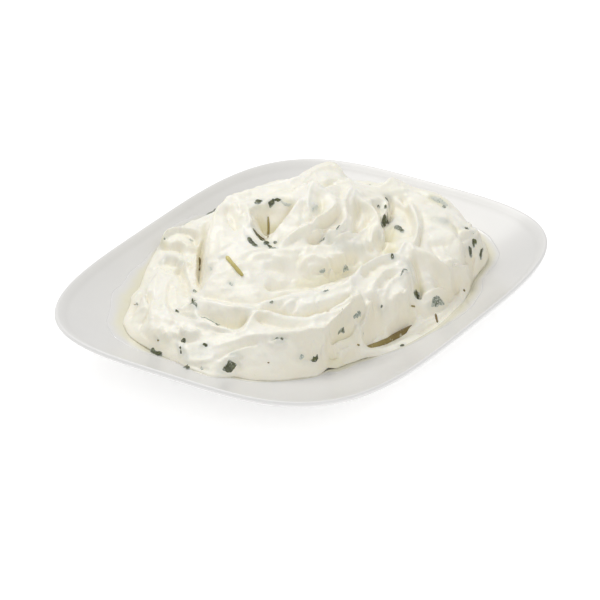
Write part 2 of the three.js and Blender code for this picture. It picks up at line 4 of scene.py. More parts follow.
import bpy
import numpy as np
from bpy.props import FloatProperty, FloatVectorProperty, IntProperty, PointerProperty
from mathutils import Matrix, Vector


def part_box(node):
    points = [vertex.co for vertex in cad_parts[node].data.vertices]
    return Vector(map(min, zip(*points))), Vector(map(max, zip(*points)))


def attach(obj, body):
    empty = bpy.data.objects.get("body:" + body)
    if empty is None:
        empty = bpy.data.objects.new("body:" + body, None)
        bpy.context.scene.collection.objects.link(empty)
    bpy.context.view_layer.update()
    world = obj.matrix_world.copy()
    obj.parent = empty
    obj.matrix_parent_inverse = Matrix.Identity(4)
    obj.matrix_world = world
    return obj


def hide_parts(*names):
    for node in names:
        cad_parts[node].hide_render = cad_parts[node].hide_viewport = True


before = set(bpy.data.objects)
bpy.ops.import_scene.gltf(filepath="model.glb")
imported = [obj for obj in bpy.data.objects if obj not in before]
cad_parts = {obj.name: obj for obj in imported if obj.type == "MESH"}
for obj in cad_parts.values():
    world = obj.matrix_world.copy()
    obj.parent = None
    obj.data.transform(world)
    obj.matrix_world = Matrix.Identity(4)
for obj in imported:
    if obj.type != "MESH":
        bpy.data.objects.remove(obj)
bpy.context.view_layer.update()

bl_info = {
    "name": "Purslane yogurt dip on its plate",
    "version": (1, 0, 0),
    "blender": (4, 5, 0),
    "location": "3D View > Sidebar > Dip",
    "description": "Builds a plate of swirled yogurt dip with chopped purslane",
    "category": "Add Mesh",
}

PLATE_LOW, PLATE_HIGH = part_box("plate")
MM = 0.001


# ---- sizes and colours that a user would change ------------------------------------------


class PlateSizes(bpy.types.PropertyGroup):
    """Sizes and glaze of the plate."""

    length: FloatProperty(
        name="Length", description="Long side over the rim", unit="LENGTH",
        default=PLATE_HIGH[0] - PLATE_LOW[0])
    width: FloatProperty(
        name="Width", description="Short side over the rim", unit="LENGTH",
        default=PLATE_HIGH[1] - PLATE_LOW[1])
    height: FloatProperty(
        name="Height", description="Height of the rim over the table", unit="LENGTH",
        default=PLATE_HIGH[2] - PLATE_LOW[2])
    floor: FloatProperty(
        name="Floor", description="Height of the middle of the well", unit="LENGTH",
        default=0.0055)
    squareness: FloatProperty(
        name="Squareness", description="Exponent of the outline, 2 for an ellipse", default=3.7)
    glaze: FloatVectorProperty(
        name="Glaze", description="Colour of the glaze", subtype="COLOR",
        default=(0.75, 0.745, 0.735))


class DipSizes(bpy.types.PropertyGroup):
    """Mesh, handling and colours of the dip."""

    cells: IntProperty(
        name="Cells", description="Squares across the heap's top", default=306)
    step: FloatProperty(
        name="Step", description="Spacing of the height grid", unit="LENGTH", default=0.0006)
    swell: FloatProperty(
        name="Swell", description="Curvature the dip keeps between strokes, in 1/mm",
        default=0.045)
    lean: FloatProperty(
        name="Lean", description="How far a fold's crest hangs over its lower side",
        default=0.55)
    seed: IntProperty(name="Seed", description="Draw of the small lumps", default=7)
    cream: FloatVectorProperty(
        name="Cream", description="Colour of the yogurt", subtype="COLOR",
        default=(0.90, 0.885, 0.81))
    herb_tint: FloatVectorProperty(
        name="Herb tint", description="Yogurt over a buried leaf", subtype="COLOR",
        default=(0.55, 0.585, 0.55))
    # Painted shade: darker, warmer cream for steep faces and sunken places, where less light
    # falls.
    painted_shade_tint: FloatVectorProperty(
        name="Warm tint", description="Yogurt on steep and sunken places", subtype="COLOR",
        default=(0.88, 0.83, 0.68))
    # Painted shade: yellow for hollows and creases, partly oily juice gathered there.
    oil_and_shade_tint: FloatVectorProperty(
        name="Oil tint", description="Yogurt in the deep creases", subtype="COLOR",
        default=(0.78, 0.73, 0.46))


class PurslaneLook(bpy.types.PropertyGroup):
    """Thickness and colours of the chopped purslane."""

    leaf_thickness: FloatProperty(
        name="Leaf thickness", description="Thickness of a leaf", unit="LENGTH",
        default=0.0006)
    seed: IntProperty(name="Seed", description="Draw of the small bits", default=11)
    leaf_dark: FloatVectorProperty(
        name="Dark leaf", description="Wet face of a leaf", subtype="COLOR",
        default=(0.050, 0.056, 0.022))
    leaf_pale: FloatVectorProperty(
        name="Pale leaf", description="Leaf under a film of yogurt", subtype="COLOR",
        default=(0.40, 0.47, 0.42))
    stem_green: FloatVectorProperty(
        name="Green stem", description="Young end of a stem", subtype="COLOR",
        default=(0.62, 0.54, 0.19))
    stem_brown: FloatVectorProperty(
        name="Brown stem", description="Old end of a stem", subtype="COLOR",
        default=(0.17, 0.115, 0.028))


class StudioSetup(bpy.types.PropertyGroup):
    """Camera place and light of the studio."""

    distance: FloatProperty(
        name="Distance", description="From the camera to the middle of the rim",
        unit="LENGTH", default=1.65)
    elevation: FloatProperty(
        name="Elevation", description="Camera's height over the horizon",
        subtype="ANGLE", default=math.radians(27.45))
    turn: FloatProperty(
        name="Turn", description="From the viewer's right to the plate's long axis",
        subtype="ANGLE", default=math.radians(57.7))
    key: FloatProperty(name="Key light", description="Power of the key light", default=6.3)
    fill: FloatProperty(name="Fill", description="Strength of the white room", default=0.57)
    floor: FloatVectorProperty(
        name="Floor", description="Colour of the floor", subtype="COLOR",
        default=(0.93, 0.93, 0.93))


def plate_sizes():
    return bpy.context.scene.served_plate


def dip_sizes():
    return bpy.context.scene.served_dip


def purslane_look():
    return bpy.context.scene.served_purslane


def studio_setup():
    return bpy.context.scene.served_studio


# ---- frames -------------------------------------------------------------------------------
# The heap is written in mm in a frame of its own: u runs to the viewer's right, v away
# from the viewer and z up. The plate's frame is the object's, turned about Z.


def to_plate(points):
    """Turns points (u, v, z) about Z into the plate's frame: X = u cos + v sin."""
    turn = studio_setup().turn
    u, v, z = np.moveaxis(np.asarray(points, float), -1, 0)
    return np.stack(
        [u * math.cos(turn) + v * math.sin(turn), v * math.cos(turn) - u * math.sin(turn), z],
        axis=-1)


# In the picture, which is 600 units wide, the middle of the rim's plane shows at SIGHT, and
# there a millimetre is 2.25 units. The served side's strokes are placed by where they show.
SIGHT = (305.35, 272.9)
UNITS_PER_MM = 2.25


def sight_frame():
    """The viewer's place and its right, up and forward directions, in the heap's frame."""
    setup = studio_setup()
    tip = setup.elevation
    forward = np.array([0.0, math.cos(tip), -math.sin(tip)])
    above = np.array([0.0, math.sin(tip), math.cos(tip)])
    rim_middle = np.array([0.0, 0.0, plate_sizes().height / MM])
    place = rim_middle - forward * setup.distance / MM
    return place, np.array([1.0, 0.0, 0.0]), above, forward


def sight_lines(across, down):
    """Directions of the lines of sight through picture places (across, down)."""
    _, right, above, forward = sight_frame()
    reach = UNITS_PER_MM * studio_setup().distance / MM
    a = (np.asarray(across, float) - SIGHT[0]) / reach
    b = (SIGHT[1] - np.asarray(down, float)) / reach
    return forward + np.multiply.outer(a, right) + np.multiply.outer(b, above)


def seen_at(stroke):
    """Places (u, v, z) of a stroke written as (across, down, height in mm)."""
    across, down, height = np.asarray(stroke, float).T
    place = sight_frame()[0]
    ray = sight_lines(across, down)
    return place + ray * ((height - place[2]) / ray[:, 2])[:, None]


# Marks that are written in mm are measured from the heap's own origin, this far from the
# plate's middle.
HEAP_ORIGIN = (0.7, 1.1)


def laid_at(points):
    """Points (u, v) or (u, v, z) of the heap's marks, moved to the plate's middle."""
    moved = np.array(points, float)
    moved[..., :2] += HEAP_ORIGIN
    return moved


# ---- the plate's section -------------------------------------------------------------------

# The well's floor is flat out to this share of the rim, and rises from there as this power.
FLOOR_REACH = 0.45
WELL_CURVE = 1.9
# The first guess, in mm, at the height of the well where a line of sight meets it.
WELL_GUESS = 9.0
UNDERSIDE = 1.6
# From the well's edge over the lip, down the outer wall and round the foot: (share of the
# rim's outline, height in mm).
RIM_SECTION = [
    (0.962, 21.95), (0.969, 22.5), (0.976, 23.1), (0.983, 23.65), (0.989, 23.95),
    (0.994, 23.93), (0.998, 23.55), (1.0, 22.9), (0.998, 22.2), (0.992, 21.5),
    (0.965, 19.6), (0.93, 17.6), (0.9, 15.9), (0.84, 12.7), (0.78, 9.7), (0.7, 6.1),
    (0.64, 3.9), (0.605, 2.3), (0.59, 0.5), (0.578, 0.0), (0.548, 0.0), (0.536, 0.4),
    (0.528, 1.2), (0.512, 1.6),
]


def rim_gauge(x, y):
    """1 on the rim's outline, |2x/length|^n + |2y/width|^n = 1, and less inside it."""
    sizes = plate_sizes()
    n = sizes.squareness
    long_part = np.abs(2 * x * MM / sizes.length) ** n
    return (long_part + np.abs(2 * y * MM / sizes.width) ** n) ** (1 / n)


def well_height(gauge):
    """The well rises from its flat floor as a power of the way out to the rim."""
    sizes = plate_sizes()
    low = sizes.floor / MM
    out = np.clip((gauge - FLOOR_REACH) / (1 - FLOOR_REACH), 0, 1)
    return low + (sizes.height / MM - low) * out ** WELL_CURVE


def well_under(u, v):
    """Height of the well under places (u, v)."""
    flat = to_plate(np.stack([u, v, np.zeros_like(u)], axis=-1))
    return well_height(rim_gauge(flat[..., 0], flat[..., 1]))


def well_seen_at(places):
    """Points (u, v) of the well that show at picture places: each line of sight is cut at
    the height found so far, over and over."""
    across, down = np.asarray(places, float).T
    height = np.full(len(across), WELL_GUESS)
    for _ in range(12):
        points = seen_at(np.stack([across, down, height], axis=1))
        height = well_under(points[:, 0], points[:, 1])
    return points[:, :2]


# ---- curves, grids and noise ---------------------------------------------------------------


def smooth_path(points, spans=10, closed=False):
    """A curve through the points: between two of them a cubic with the slopes of their
    neighbours (Catmull-Rom)."""
    p = np.asarray(points, float)
    if len(p) < 3:
        share = np.linspace(0, 1, spans + 1)[:, None]
        return p[0] + (p[-1] - p[0]) * share
    if closed:
        p = np.vstack([p[-1:], p, p[:2]])
    else:
        p = np.vstack([2 * p[:1] - p[1:2], p, 2 * p[-1:] - p[-2:-1]])
    a, b, c, d = (p[k:len(p) - 3 + k, None] for k in range(4))
    t = np.linspace(0, 1, spans, endpoint=False)[None, :, None]
    curve = 0.5 * (2 * b + (c - a) * t + (2 * a - 5 * b + 4 * c - d) * t**2
                   + (3 * b - a - 3 * c + d) * t**3)
    curve = curve.reshape(-1, p.shape[1])
    return curve if closed else np.vstack([curve, p[-2:-1]])


def dense_path(points, step):
    """A smooth path cut into pieces no longer than the step."""
    path = smooth_path(points, 12)
    run = np.r_[0, np.cumsum(np.linalg.norm(np.diff(path, axis=0), axis=1))]
    share = np.linspace(0, run[-1], max(2, int(run[-1] / step) + 1))
    return np.stack([np.interp(share, run, path[:, k]) for k in range(path.shape[1])], axis=1)


HEAP_LOW = (-92.0, -80.0)
HEAP_HIGH = (92.0, 96.0)
HEAP_MIDDLE = (0.7, 7.1)


def height_grid(step):
    """The square grid over the heap, as (u, v) arrays."""
    nu = int(math.ceil((HEAP_HIGH[0] - HEAP_LOW[0]) / step)) + 1
    nv = int(math.ceil((HEAP_HIGH[1] - HEAP_LOW[1]) / step)) + 1
    return np.meshgrid(HEAP_LOW[0] + step * np.arange(nu), HEAP_LOW[1] + step * np.arange(nv))


def read_grid(field, step, u, v):
    """Value of a grid field at (u, v), by the four nodes round each place."""
    a = np.clip((u - HEAP_LOW[0]) / step, 0, field.shape[1] - 1.001)
    b = np.clip((v - HEAP_LOW[1]) / step, 0, field.shape[0] - 1.001)
    i, j = a.astype(int), b.astype(int)
    a, b = a - i, b - j
    near = field[j, i] * (1 - a) + field[j, i + 1] * a
    far = field[j + 1, i] * (1 - a) + field[j + 1, i + 1] * a
    return near * (1 - b) + far * b


def softened(field, radius, step):
    """The field under a round brush: a Gaussian of this radius, first across, then along."""
    reach = int(3 * radius / step) + 1
    brush = np.exp(-0.5 * (np.arange(-reach, reach + 1) * step / radius) ** 2)
    brush /= brush.sum()
    out = np.pad(field, reach, mode="edge")
    rows = sum(w * out[k:k + field.shape[0]] for k, w in enumerate(brush))
    return sum(w * rows[:, k:k + field.shape[1]] for k, w in enumerate(brush))


def lattice_noise(places, size, draw):
    """Smooth noise from -1 to 1: random values on a lattice of this size in space, joined
    by smoothed steps."""
    at = (np.asarray(places) + 200) / size
    cell = np.floor(at).astype(int)
    share = at - cell
    share = share * share * (3 - 2 * share)
    table = np.random.default_rng(draw).uniform(-1, 1, (64, 64, 64))
    total = 0.0
    for corner in np.ndindex(2, 2, 2):
        weight = np.prod(np.where(corner, share, 1 - share), axis=-1)
        total = total + weight * table[tuple(np.moveaxis((cell + corner) % 64, -1, 0))]
    return total


# ---- the heap's strokes --------------------------------------------------------------------
# On the served side a stroke is (across, down, height): its place in the picture and its
# height in mm. At the back it is (u, v, z).

# Where the heap ends on the plate: at the front as it is seen, round the back as (u, v).
FOOTPRINT_SEEN = [
    (139, 289), (131, 298), (129, 308), (123, 321), (124, 328), (129, 337), (137, 343.5),
    (147, 350), (157, 355), (167, 359.5), (178, 364), (188, 369), (198, 373), (210, 377),
    (222, 378.5), (235, 378.5), (250, 381), (265, 382), (280, 382), (295, 380.5), (307, 379),
    (318, 377), (328, 372), (338, 370), (348, 366), (358, 362.5), (370, 359), (382, 355.5),
    (393, 352), (404, 347.5), (415, 342), (427, 335), (438, 328), (448, 319), (457, 310),
    (464, 302), (470, 292), (474, 282), (480, 274), (486, 266), (488.5, 256),
]
FOOTPRINT_BACK = [
    (80, 51), (70, 63), (55, 74), (35, 82), (10, 84), (-15, 80), (-35, 72), (-50, 61),
    (-61.5, 47), (-69, 31), (-73, 17),
]

CRESTS = {
    "left ring": [(176, 322, 22), (160, 318, 21.5), (149, 308, 20.5), (146, 295, 20),
        (153, 283, 20.5), (163, 274, 20)],
    "left ring front": [(139, 322, 15), (152, 331, 17.5), (168, 333, 19), (178, 328, 20.5)],
    "left ring toe": [(137, 304, 13.5), (134, 312, 13), (131, 320, 13)],
    "back lobe": [(161, 244, 22), (164, 237, 24.5), (170, 232, 26), (178, 230, 27),
        (186, 230.5, 27), (194, 235, 26.5), (198, 240, 26)],
    "small lobe": [(157, 259, 18), (164, 254, 20.5), (172, 253, 22), (179, 257, 23),
        (182, 262, 22.6)],
    "string": [(197, 252, 26), (196, 266, 24.4), (196.5, 279, 23.6)],
    "west shoulder": [(209, 262, 33), (209, 247, 35), (211, 233, 38), (215, 219, 40.5),
        (221, 207, 42.5), (229, 200, 43.5), (240, 195, 44.5)],
    "dent east": [(236, 204, 44), (241, 214, 42.6), (245, 226, 41), (250, 238, 39.3)],
    "hollow west": [(246, 203, 45), (247, 213, 43.8), (249, 224, 42), (254, 236, 39.6),
        (262, 246, 37.4), (270, 249.5, 36.6)],
    "hollow back": [(247, 197, 45.5), (257, 203, 45), (264, 205, 44.8), (270, 199, 46),
        (281, 196, 46.8), (292, 195, 47.6), (299, 198, 48.2)],
    "hollow east": [(300, 202, 48.4), (294, 213, 45.8), (286, 225, 42.2), (278, 237, 38.8),
        (274, 244, 37.2), (270, 248, 36.8)],
    "top back": [(240, 195, 44.5), (252, 190, 46), (265, 188, 46.6), (278, 186, 47),
        (291, 182, 47.4), (305, 177, 46.6)],
    "first peak": [(314, 181, 52.4), (318, 187, 51.2), (324, 192, 50), (332, 199, 48.6),
        (336, 204, 48)],
    "first peak west": [(314, 181, 52.4), (309, 189, 50.8), (304, 199, 49), (300, 211, 46.4),
        (299, 222, 44.4)],
    "first peak middle": [(311, 192, 50.4), (309, 205, 48), (309, 213, 46.4), (314, 219, 45)],
    "first ribbon": [(336, 206, 48), (331, 211, 47), (323, 217, 46), (314, 223, 45),
        (304, 228, 43.8), (294, 234, 42), (286, 241, 40), (279, 247, 38)],
    "second peak": [(351, 189, 47.6), (346, 196, 47), (344, 206, 45.8), (344, 217, 44.2),
        (341, 226, 43), (333, 230, 42.4), (322, 231, 42.2), (313, 233, 41.6), (304, 238, 40.4),
        (295, 245, 38.6)],
    "ribbon end": [(352, 220, 42), (352, 229, 40.4), (346, 231, 40.6), (338, 232, 41.4)],
    "second peak east": [(353, 190, 47.2), (357, 196, 45.8), (361, 202, 44.4), (366, 205, 43.2),
        (373, 211, 41.6), (377, 219, 39.6), (378, 228, 37.4), (372, 236, 36), (368, 243, 35)],
    "side flap": [(380, 229, 36.2), (384, 236, 34.6), (386, 245, 32.8), (383, 250, 31.6)],
    "middle knob": [(302, 262, 34.2), (310, 259, 35), (320, 259, 35), (329, 263, 34),
        (332, 268, 32.6)],
    "middle west": [(246, 260, 36), (258, 255, 36.8), (270, 254, 37), (284, 259, 35.8)],
    "middle west low": [(252, 272, 33), (266, 270, 33), (280, 270, 32.4), (290, 276, 30.6)],
    "channel line": [(280, 292, 28), (300, 290.5, 27.8), (320, 288, 27.6), (336, 283, 28)],
    "leaf band": [(197, 303, 26), (212, 305, 27.6), (228, 309, 28), (243, 310, 28.2),
        (256, 309, 28)],
    "leaf band lip": [(186, 310, 23), (200, 318, 24.4), (214, 325, 24), (228, 330, 23.2),
        (240, 331, 23.4), (248, 326, 25)],
    "long fold": [(262, 303, 29), (275, 300, 29.6), (285, 296.5, 30), (300, 296, 30),
        (312, 293.5, 30.2), (324, 292, 30.4), (334, 288, 31), (346, 284, 31.8),
        (352, 281, 32.4), (361, 271, 33.2), (370, 264, 33.6), (381, 258, 33.6),
        (391, 255, 33.6), (398, 258, 32.6), (401, 253, 33), (404, 246, 34.2), (407, 244, 34.6),
        (411, 247, 34.2), (413, 253, 33.4)],
    "fold belly": [(286, 306, 28.2), (300, 305, 28.6), (316, 303, 29), (332, 298, 29.6),
        (346, 293, 30.6)],
    "front fold": [(236, 334, 23), (245, 327, 24.6), (250, 319, 26.4), (256, 314, 27.6),
        (264, 312, 28), (276, 315, 27.6), (290, 318, 26.8), (304, 319, 26.4), (318, 316, 26.8),
        (332, 310, 28), (345, 303, 29.4), (356, 297, 30)],
    "front edge": [(214, 336, 21), (230, 335, 22.4), (246, 334, 23.4), (262, 334, 23.8),
        (280, 333, 24), (300, 331.5, 24.4), (316, 331, 23.4), (323, 333, 22.2)],
    "front corner": [(323, 333, 22.2), (325, 341, 18.6), (324, 350, 15.4), (323, 357, 12.8),
        (327, 364, 9.4), (332, 369, 7.2)],
    "scoop top": [(323, 333, 22.2), (330, 328, 22.8), (339, 319, 25.4), (348, 309, 27.8),
        (356, 301, 29.6), (362, 296, 30.4)],
    "scoop foot": [(328, 347, 15.4), (336, 343, 16.5), (347, 341, 16), (356, 338, 15.4)],
    "cave roof": [(328, 357, 11.8), (336, 357.5, 11), (344, 354, 11.3)],
    "leaf rib": [(358, 330, 18.8), (363, 321, 20.8), (368, 311, 24), (372, 302, 26.8)],
    "east fold": [(362, 290, 30), (368, 282, 31), (376, 275, 31.2), (386, 271, 31),
        (396, 270.5, 30.4), (402, 274, 29.4), (406, 281, 27.6)],
    "east fold low": [(373, 293, 28.8), (379, 284, 30), (386, 278, 30.2)],
    "east bumps": [(382, 314, 20.6), (390, 304, 23.2), (398, 296, 24.9), (404, 290, 25.8)],
    "skirt ridge": [(418, 312, 14.2), (430, 305, 15), (442, 299, 14.6)],
    "pocket lip": [(413, 253, 33.4), (418, 252.5, 33), (425, 251, 32.4), (430, 254, 31.4),
        (436, 262, 28.8), (443, 269, 25.6), (449, 276, 21.8), (451, 285, 18.2), (450, 293, 14.8)],
    "outer lip": [(448, 262, 26.4), (457, 268, 21.4), (466, 272, 18), (470, 278, 14.7)],
    "leaf slab": [(406, 262, 30.6), (409, 272, 28.4), (411, 284, 24.8), (412, 295, 20.6)],
    "east shelf": [(424, 300, 17), (434, 296, 17.4), (444, 292, 16.6)],
    "leaf lump": [(367, 203, 42), (372, 199, 41), (380, 198, 40), (386, 199, 38.8),
        (388, 207, 37.4), (387, 215, 36.4), (383, 219, 36)],
    "east ridge": [(397, 197, 37.4), (406, 205, 36.8), (413, 213, 36), (417, 221, 35),
        (418, 231, 34), (417, 242, 33)],
    "east crown": [(385, 184, 40), (392, 180.5, 40.4), (400, 183, 39.4), (412, 188, 38),
        (426, 192, 36.6), (440, 198, 35), (452, 207, 32.6), (460, 216, 30), (468, 226, 27.2)],
    "east tint": [(436, 218, 33.4), (442, 216, 33.4), (448, 220, 32.4)],
    "east bulge": [(430, 233, 31.6), (442, 230, 32), (454, 236, 30.4), (459, 247, 27),
        (455, 256, 24.6)],
    "east end": [(466, 236, 27), (474, 231, 25.8), (478, 238, 24), (482, 250, 18.2),
        (484, 262, 13.6), (478, 272, 11.8)],
    "far bump": [(303, 177, 46.6), (309, 172, 46.6), (317, 168.5, 46.4), (326, 167, 46),
        (334, 167.5, 45.6), (341, 172, 44.8)],
    "far fold": [(320, 182, 46.4), (334, 181, 46), (346, 183, 45.2)],
}

CREASES = {
    "ring dent": [(146, 293, 18.3), (147, 300, 17.8), (149, 306, 18.2)],
    "ring inside": [(166, 267, 17.5), (178, 271, 19), (184, 281, 19.8), (188, 291, 20),
        (190, 299, 20.5)],
    "back lobe inside": [(166, 241, 22.8), (172, 236, 24.6), (180, 233.5, 25.6),
        (188, 234.5, 25.6), (193, 239, 25.2), (196, 246, 24.5)],
    "lobe gap": [(160, 251, 19.4), (170, 249, 21.8), (180, 251, 23), (185, 257, 23),
        (186, 265, 22)],
    "west cleft": [(205, 230, 30.6), (204, 238, 28.2), (202, 248, 25.4), (199.5, 260, 22),
        (199, 270, 20.8), (199, 281, 21.6), (200, 291, 23.6)],
    "string foot": [(195, 250, 24.6), (193, 264, 22.6), (194, 278, 22), (196, 288, 22.6)],
    "west dent": [(227, 210, 41.6), (232, 218, 40.6), (237, 229, 39.6)],
    "strips": [(251, 226, 40.6), (257, 236, 37.6), (264, 243, 35.2)],
    "strips fold": [(253, 226, 40.6), (259, 234, 37.6), (265, 240, 34.6)],
    "hollow floor": [(260, 222, 38.2), (265, 231, 35.4), (269, 238, 33.4), (274, 236, 34),
        (281, 226, 37.4), (290, 213, 41.8)],
    "behind hollow": [(243, 200, 44.2), (256, 197, 45), (270, 193, 46), (284, 190, 46.6),
        (297, 187, 47)],
    "peak scoop": [(318, 195, 49.2), (322, 204, 47.2), (321, 212, 45.6), (316, 215, 45)],
    "peak foot": [(304, 207, 46.6), (303, 217, 44.8), (302, 224, 43.8)],
    "over ribbon": [(318, 217, 44.6), (308, 222, 43.8), (298, 226, 43), (290, 233, 41)],
    "ribbon gap": [(338, 211, 45.2), (334, 219, 43.6), (326, 225, 42.6), (316, 229, 42.4),
        (304, 234, 41.6), (294, 241, 39.4), (284, 248, 37.6)],
    "second peak inside": [(340, 213, 44), (341, 221, 42.8), (338, 226, 41.8)],
    "peak gap": [(342, 186, 45), (341, 194, 46), (341, 203, 46.6)],
    "ribbon foot": [(350, 232, 39.2), (340, 234, 40), (330, 237, 38.6), (318, 240, 38.4),
        (309, 243, 38)],
    "peak face": [(358, 206, 42.4), (357, 217, 40.2), (355, 228, 38.6), (353, 236, 37.8)],
    "under peak": [(379, 237, 33.6), (377, 246, 32.4), (370, 252, 31.6)],
    "knob foot": [(300, 272, 31), (312, 273, 31), (324, 273, 30.6)],
    "knob west": [(299, 256, 35.4), (296, 264, 33.4), (296, 272, 31.2)],
    "shelf foot": [(268, 290, 27.6), (290, 288, 27.2), (312, 286, 26.8), (330, 281, 27),
        (346, 274, 27.6), (356, 270, 28)],
    "channel": [(204, 297, 25), (222, 300, 26), (240, 303, 26.4), (256, 303, 26.6),
        (272, 299, 26.8), (290, 294, 26.8), (306, 292, 26.6), (324, 289, 26.8),
        (340, 284, 27.2), (352, 277, 28), (364, 266, 29.4), (378, 258, 30), (392, 255, 30)],
    "leaf band foot": [(202, 314, 24), (212, 320, 23.2), (226, 326, 22.2), (238, 328, 22.2),
        (245, 322, 23.6)],
    "notch": [(177, 307, 21.4), (186, 304, 21.8), (193, 303, 22.4)],
    "notch front": [(178, 312, 21), (188, 317, 21.8), (198, 320, 22.6)],
    "fold gap": [(256, 312, 26.4), (268, 311, 26.6), (284, 314, 26), (300, 316, 25.6),
        (314, 315, 25.6), (328, 310, 26.4), (340, 304, 27.4), (350, 299, 28.2)],
    "front fold foot": [(258, 320, 25), (270, 325, 24.6), (284, 328, 24.2), (300, 329, 24),
        (316, 329, 24)],
    "scoop": [(328, 340, 17.3), (335, 337, 18), (344, 330, 19.6), (353, 320, 22.2),
        (360, 310, 24.8)],
    "cave": [(329, 363, 8.2), (335, 361, 8.4), (340, 360.5, 8.3)],
    "rib west": [(357, 322, 20.8), (362, 311, 23.9), (367, 301, 26.8)],
    "rib east": [(366, 337, 14), (370, 324, 17.8), (374, 312, 21.4), (378, 303, 24.4)],
    "over east fold": [(363, 278, 30.6), (372, 269, 31), (384, 264.5, 31.2), (394, 263, 31.4),
        (400, 262, 31.6)],
    "east fold gap": [(381, 291, 27.4), (387, 282, 28.6), (394, 276, 29)],
    "pit": [(413, 262, 29.4), (416, 274, 25.6), (419, 284, 22), (419, 293, 18.6),
        (424, 294, 18.8)],
    "valley": [(380, 256, 30), (384, 248, 30.6), (388, 238, 31.4), (392, 229, 32)],
    "lump gap": [(390, 200, 36.6), (391, 209, 34.6), (389, 218, 34), (384, 226, 33.6),
        (386, 234, 32.4)],
    "ridge west": [(398, 207, 34.8), (407, 215, 33.8), (411, 226, 32.8), (411, 238, 31.8)],
    "ridge east": [(421, 215, 34.4), (423, 226, 32.8), (421, 236, 31.8), (419, 246, 31)],
    "mound foot": [(422, 250, 30.6), (433, 255, 28.4), (446, 261, 25.6), (456, 262, 23),
        (464, 262, 20.8), (468, 268, 17.8)],
    "end cleft": [(466, 250, 23.2), (470, 258, 19), (470, 270, 14.6)],
    "behind peaks": [(306, 184, 46.4), (316, 186, 46.6), (330, 184, 45.6), (340, 180, 44.6)],
}

SLOPES = {
    "back lobe dome": [(172, 245, 23.6), (181, 243, 25.8), (189, 248, 25.4)],
    "back lobe foot": [(187, 262, 24), (190, 272, 23), (193, 282, 22.6)],
    "small lobe dome": [(163, 262, 19.5), (172, 263, 21), (179, 267, 21.3)],
    "west flank": [(205, 290, 26.8), (211, 279, 30), (224, 271, 33.2), (240, 264, 35.5)],
    "west flank top": [(206, 268, 28.5), (214, 262, 33.5)],
    "west top": [(221, 248, 37.5), (222, 232, 39.8), (225, 218, 41.4)],
    "hollow wall": [(262, 213, 41.8), (270, 213, 41.2), (280, 211, 42.2)],
    "peak face east": [(367, 214, 40), (367, 226, 37.6), (362, 236, 36.2)],
    "grey belly": [(338, 246, 36.6), (350, 243, 36.4), (362, 248, 34.4)],
    "middle top": [(288, 253, 36.6), (305, 255, 36.2), (325, 255, 35.6), (345, 256, 34.6)],
    "middle foot": [(230, 285, 30), (250, 285, 30.4), (268, 284, 29.8)],
    "middle shelf": [(303, 277, 29.4), (322, 276, 29), (340, 270, 29.2), (355, 262, 30)],
    "scoop face": [(344, 326, 21.4), (352, 316, 24)],
    "scoop low": [(330, 352, 13.2), (340, 350, 13.1), (350, 348, 12.5), (358, 346, 12)],
    "under the scoop": [(347, 360, 8.4), (356, 356, 8.8)],
    "east bumps low": [(392, 322, 15.8), (400, 312, 18.4), (408, 303, 20.8)],
    "skirt top": [(373, 337, 13.0), (383, 331, 14), (393, 323, 15.4), (400, 316, 16.4)],
    "skirt low": [(364, 342, 12.2), (376, 337, 12.2), (390, 331, 12.3), (404, 323, 12.8),
        (414, 316, 13.8)],
    "stem bed": [(360, 351, 10.8), (366, 348.5, 10.6), (372, 346, 10.4), (380, 342.5, 10.3),
        (388, 339, 10.4), (396, 335, 10.6), (404, 331, 11.0), (410, 328, 11.6), (418, 324, 12.0)],
    "stem front": [(366, 353.5, 9.4), (380, 348, 9.3), (392, 342, 9.6), (404, 336, 10.0),
        (414, 331, 10.5)],
    "skirt east": [(424, 318, 11.6), (436, 309, 12.4), (448, 300, 12.8), (458, 290, 12.6)],
    "skirt edge": [(420, 334, 9.6), (434, 325, 10), (446, 314, 10.6), (457, 302, 11.2),
        (466, 289, 11.8)],
    "lip face": [(452, 266, 23.6), (459, 273, 18.6), (462, 283, 14.8), (460, 293, 12.4)],
    "pocket": [(424, 266, 27.8), (432, 276, 24.4), (440, 285, 19.8)],
    "valley floor": [(401, 238, 31.6), (405, 225, 32.6), (406, 212, 34.2), (402, 203, 34.8)],
    "lump face": [(374, 208, 39.4), (380, 212, 37.6)],
    "east top": [(425, 203, 35.4), (440, 209, 34), (452, 218, 32)],
    "east face": [(433, 246, 28.8), (445, 247, 27.4)],
    "end face": [(475, 252, 19.8), (476, 262, 16)],
    "back slope": [(356, 186, 43), (370, 189, 41)],
}

BACK_CRESTS = {
    "back ring": [(-47, 34, 31), (-40, 48, 30), (-28, 60, 31), (-10, 67, 33), (10, 70, 34),
        (34, 70, 32.5), (55, 62, 30), (68, 50, 26)],
    "back inner": [(-34, 46, 38), (-20, 54, 39), (-4, 60, 41)],
}

BACK_CREASES = {
    "back gap": [(-41, 38, 31), (-29, 55, 30.5), (-8, 65, 33), (18, 64, 32.4), (40, 64, 31)],
}


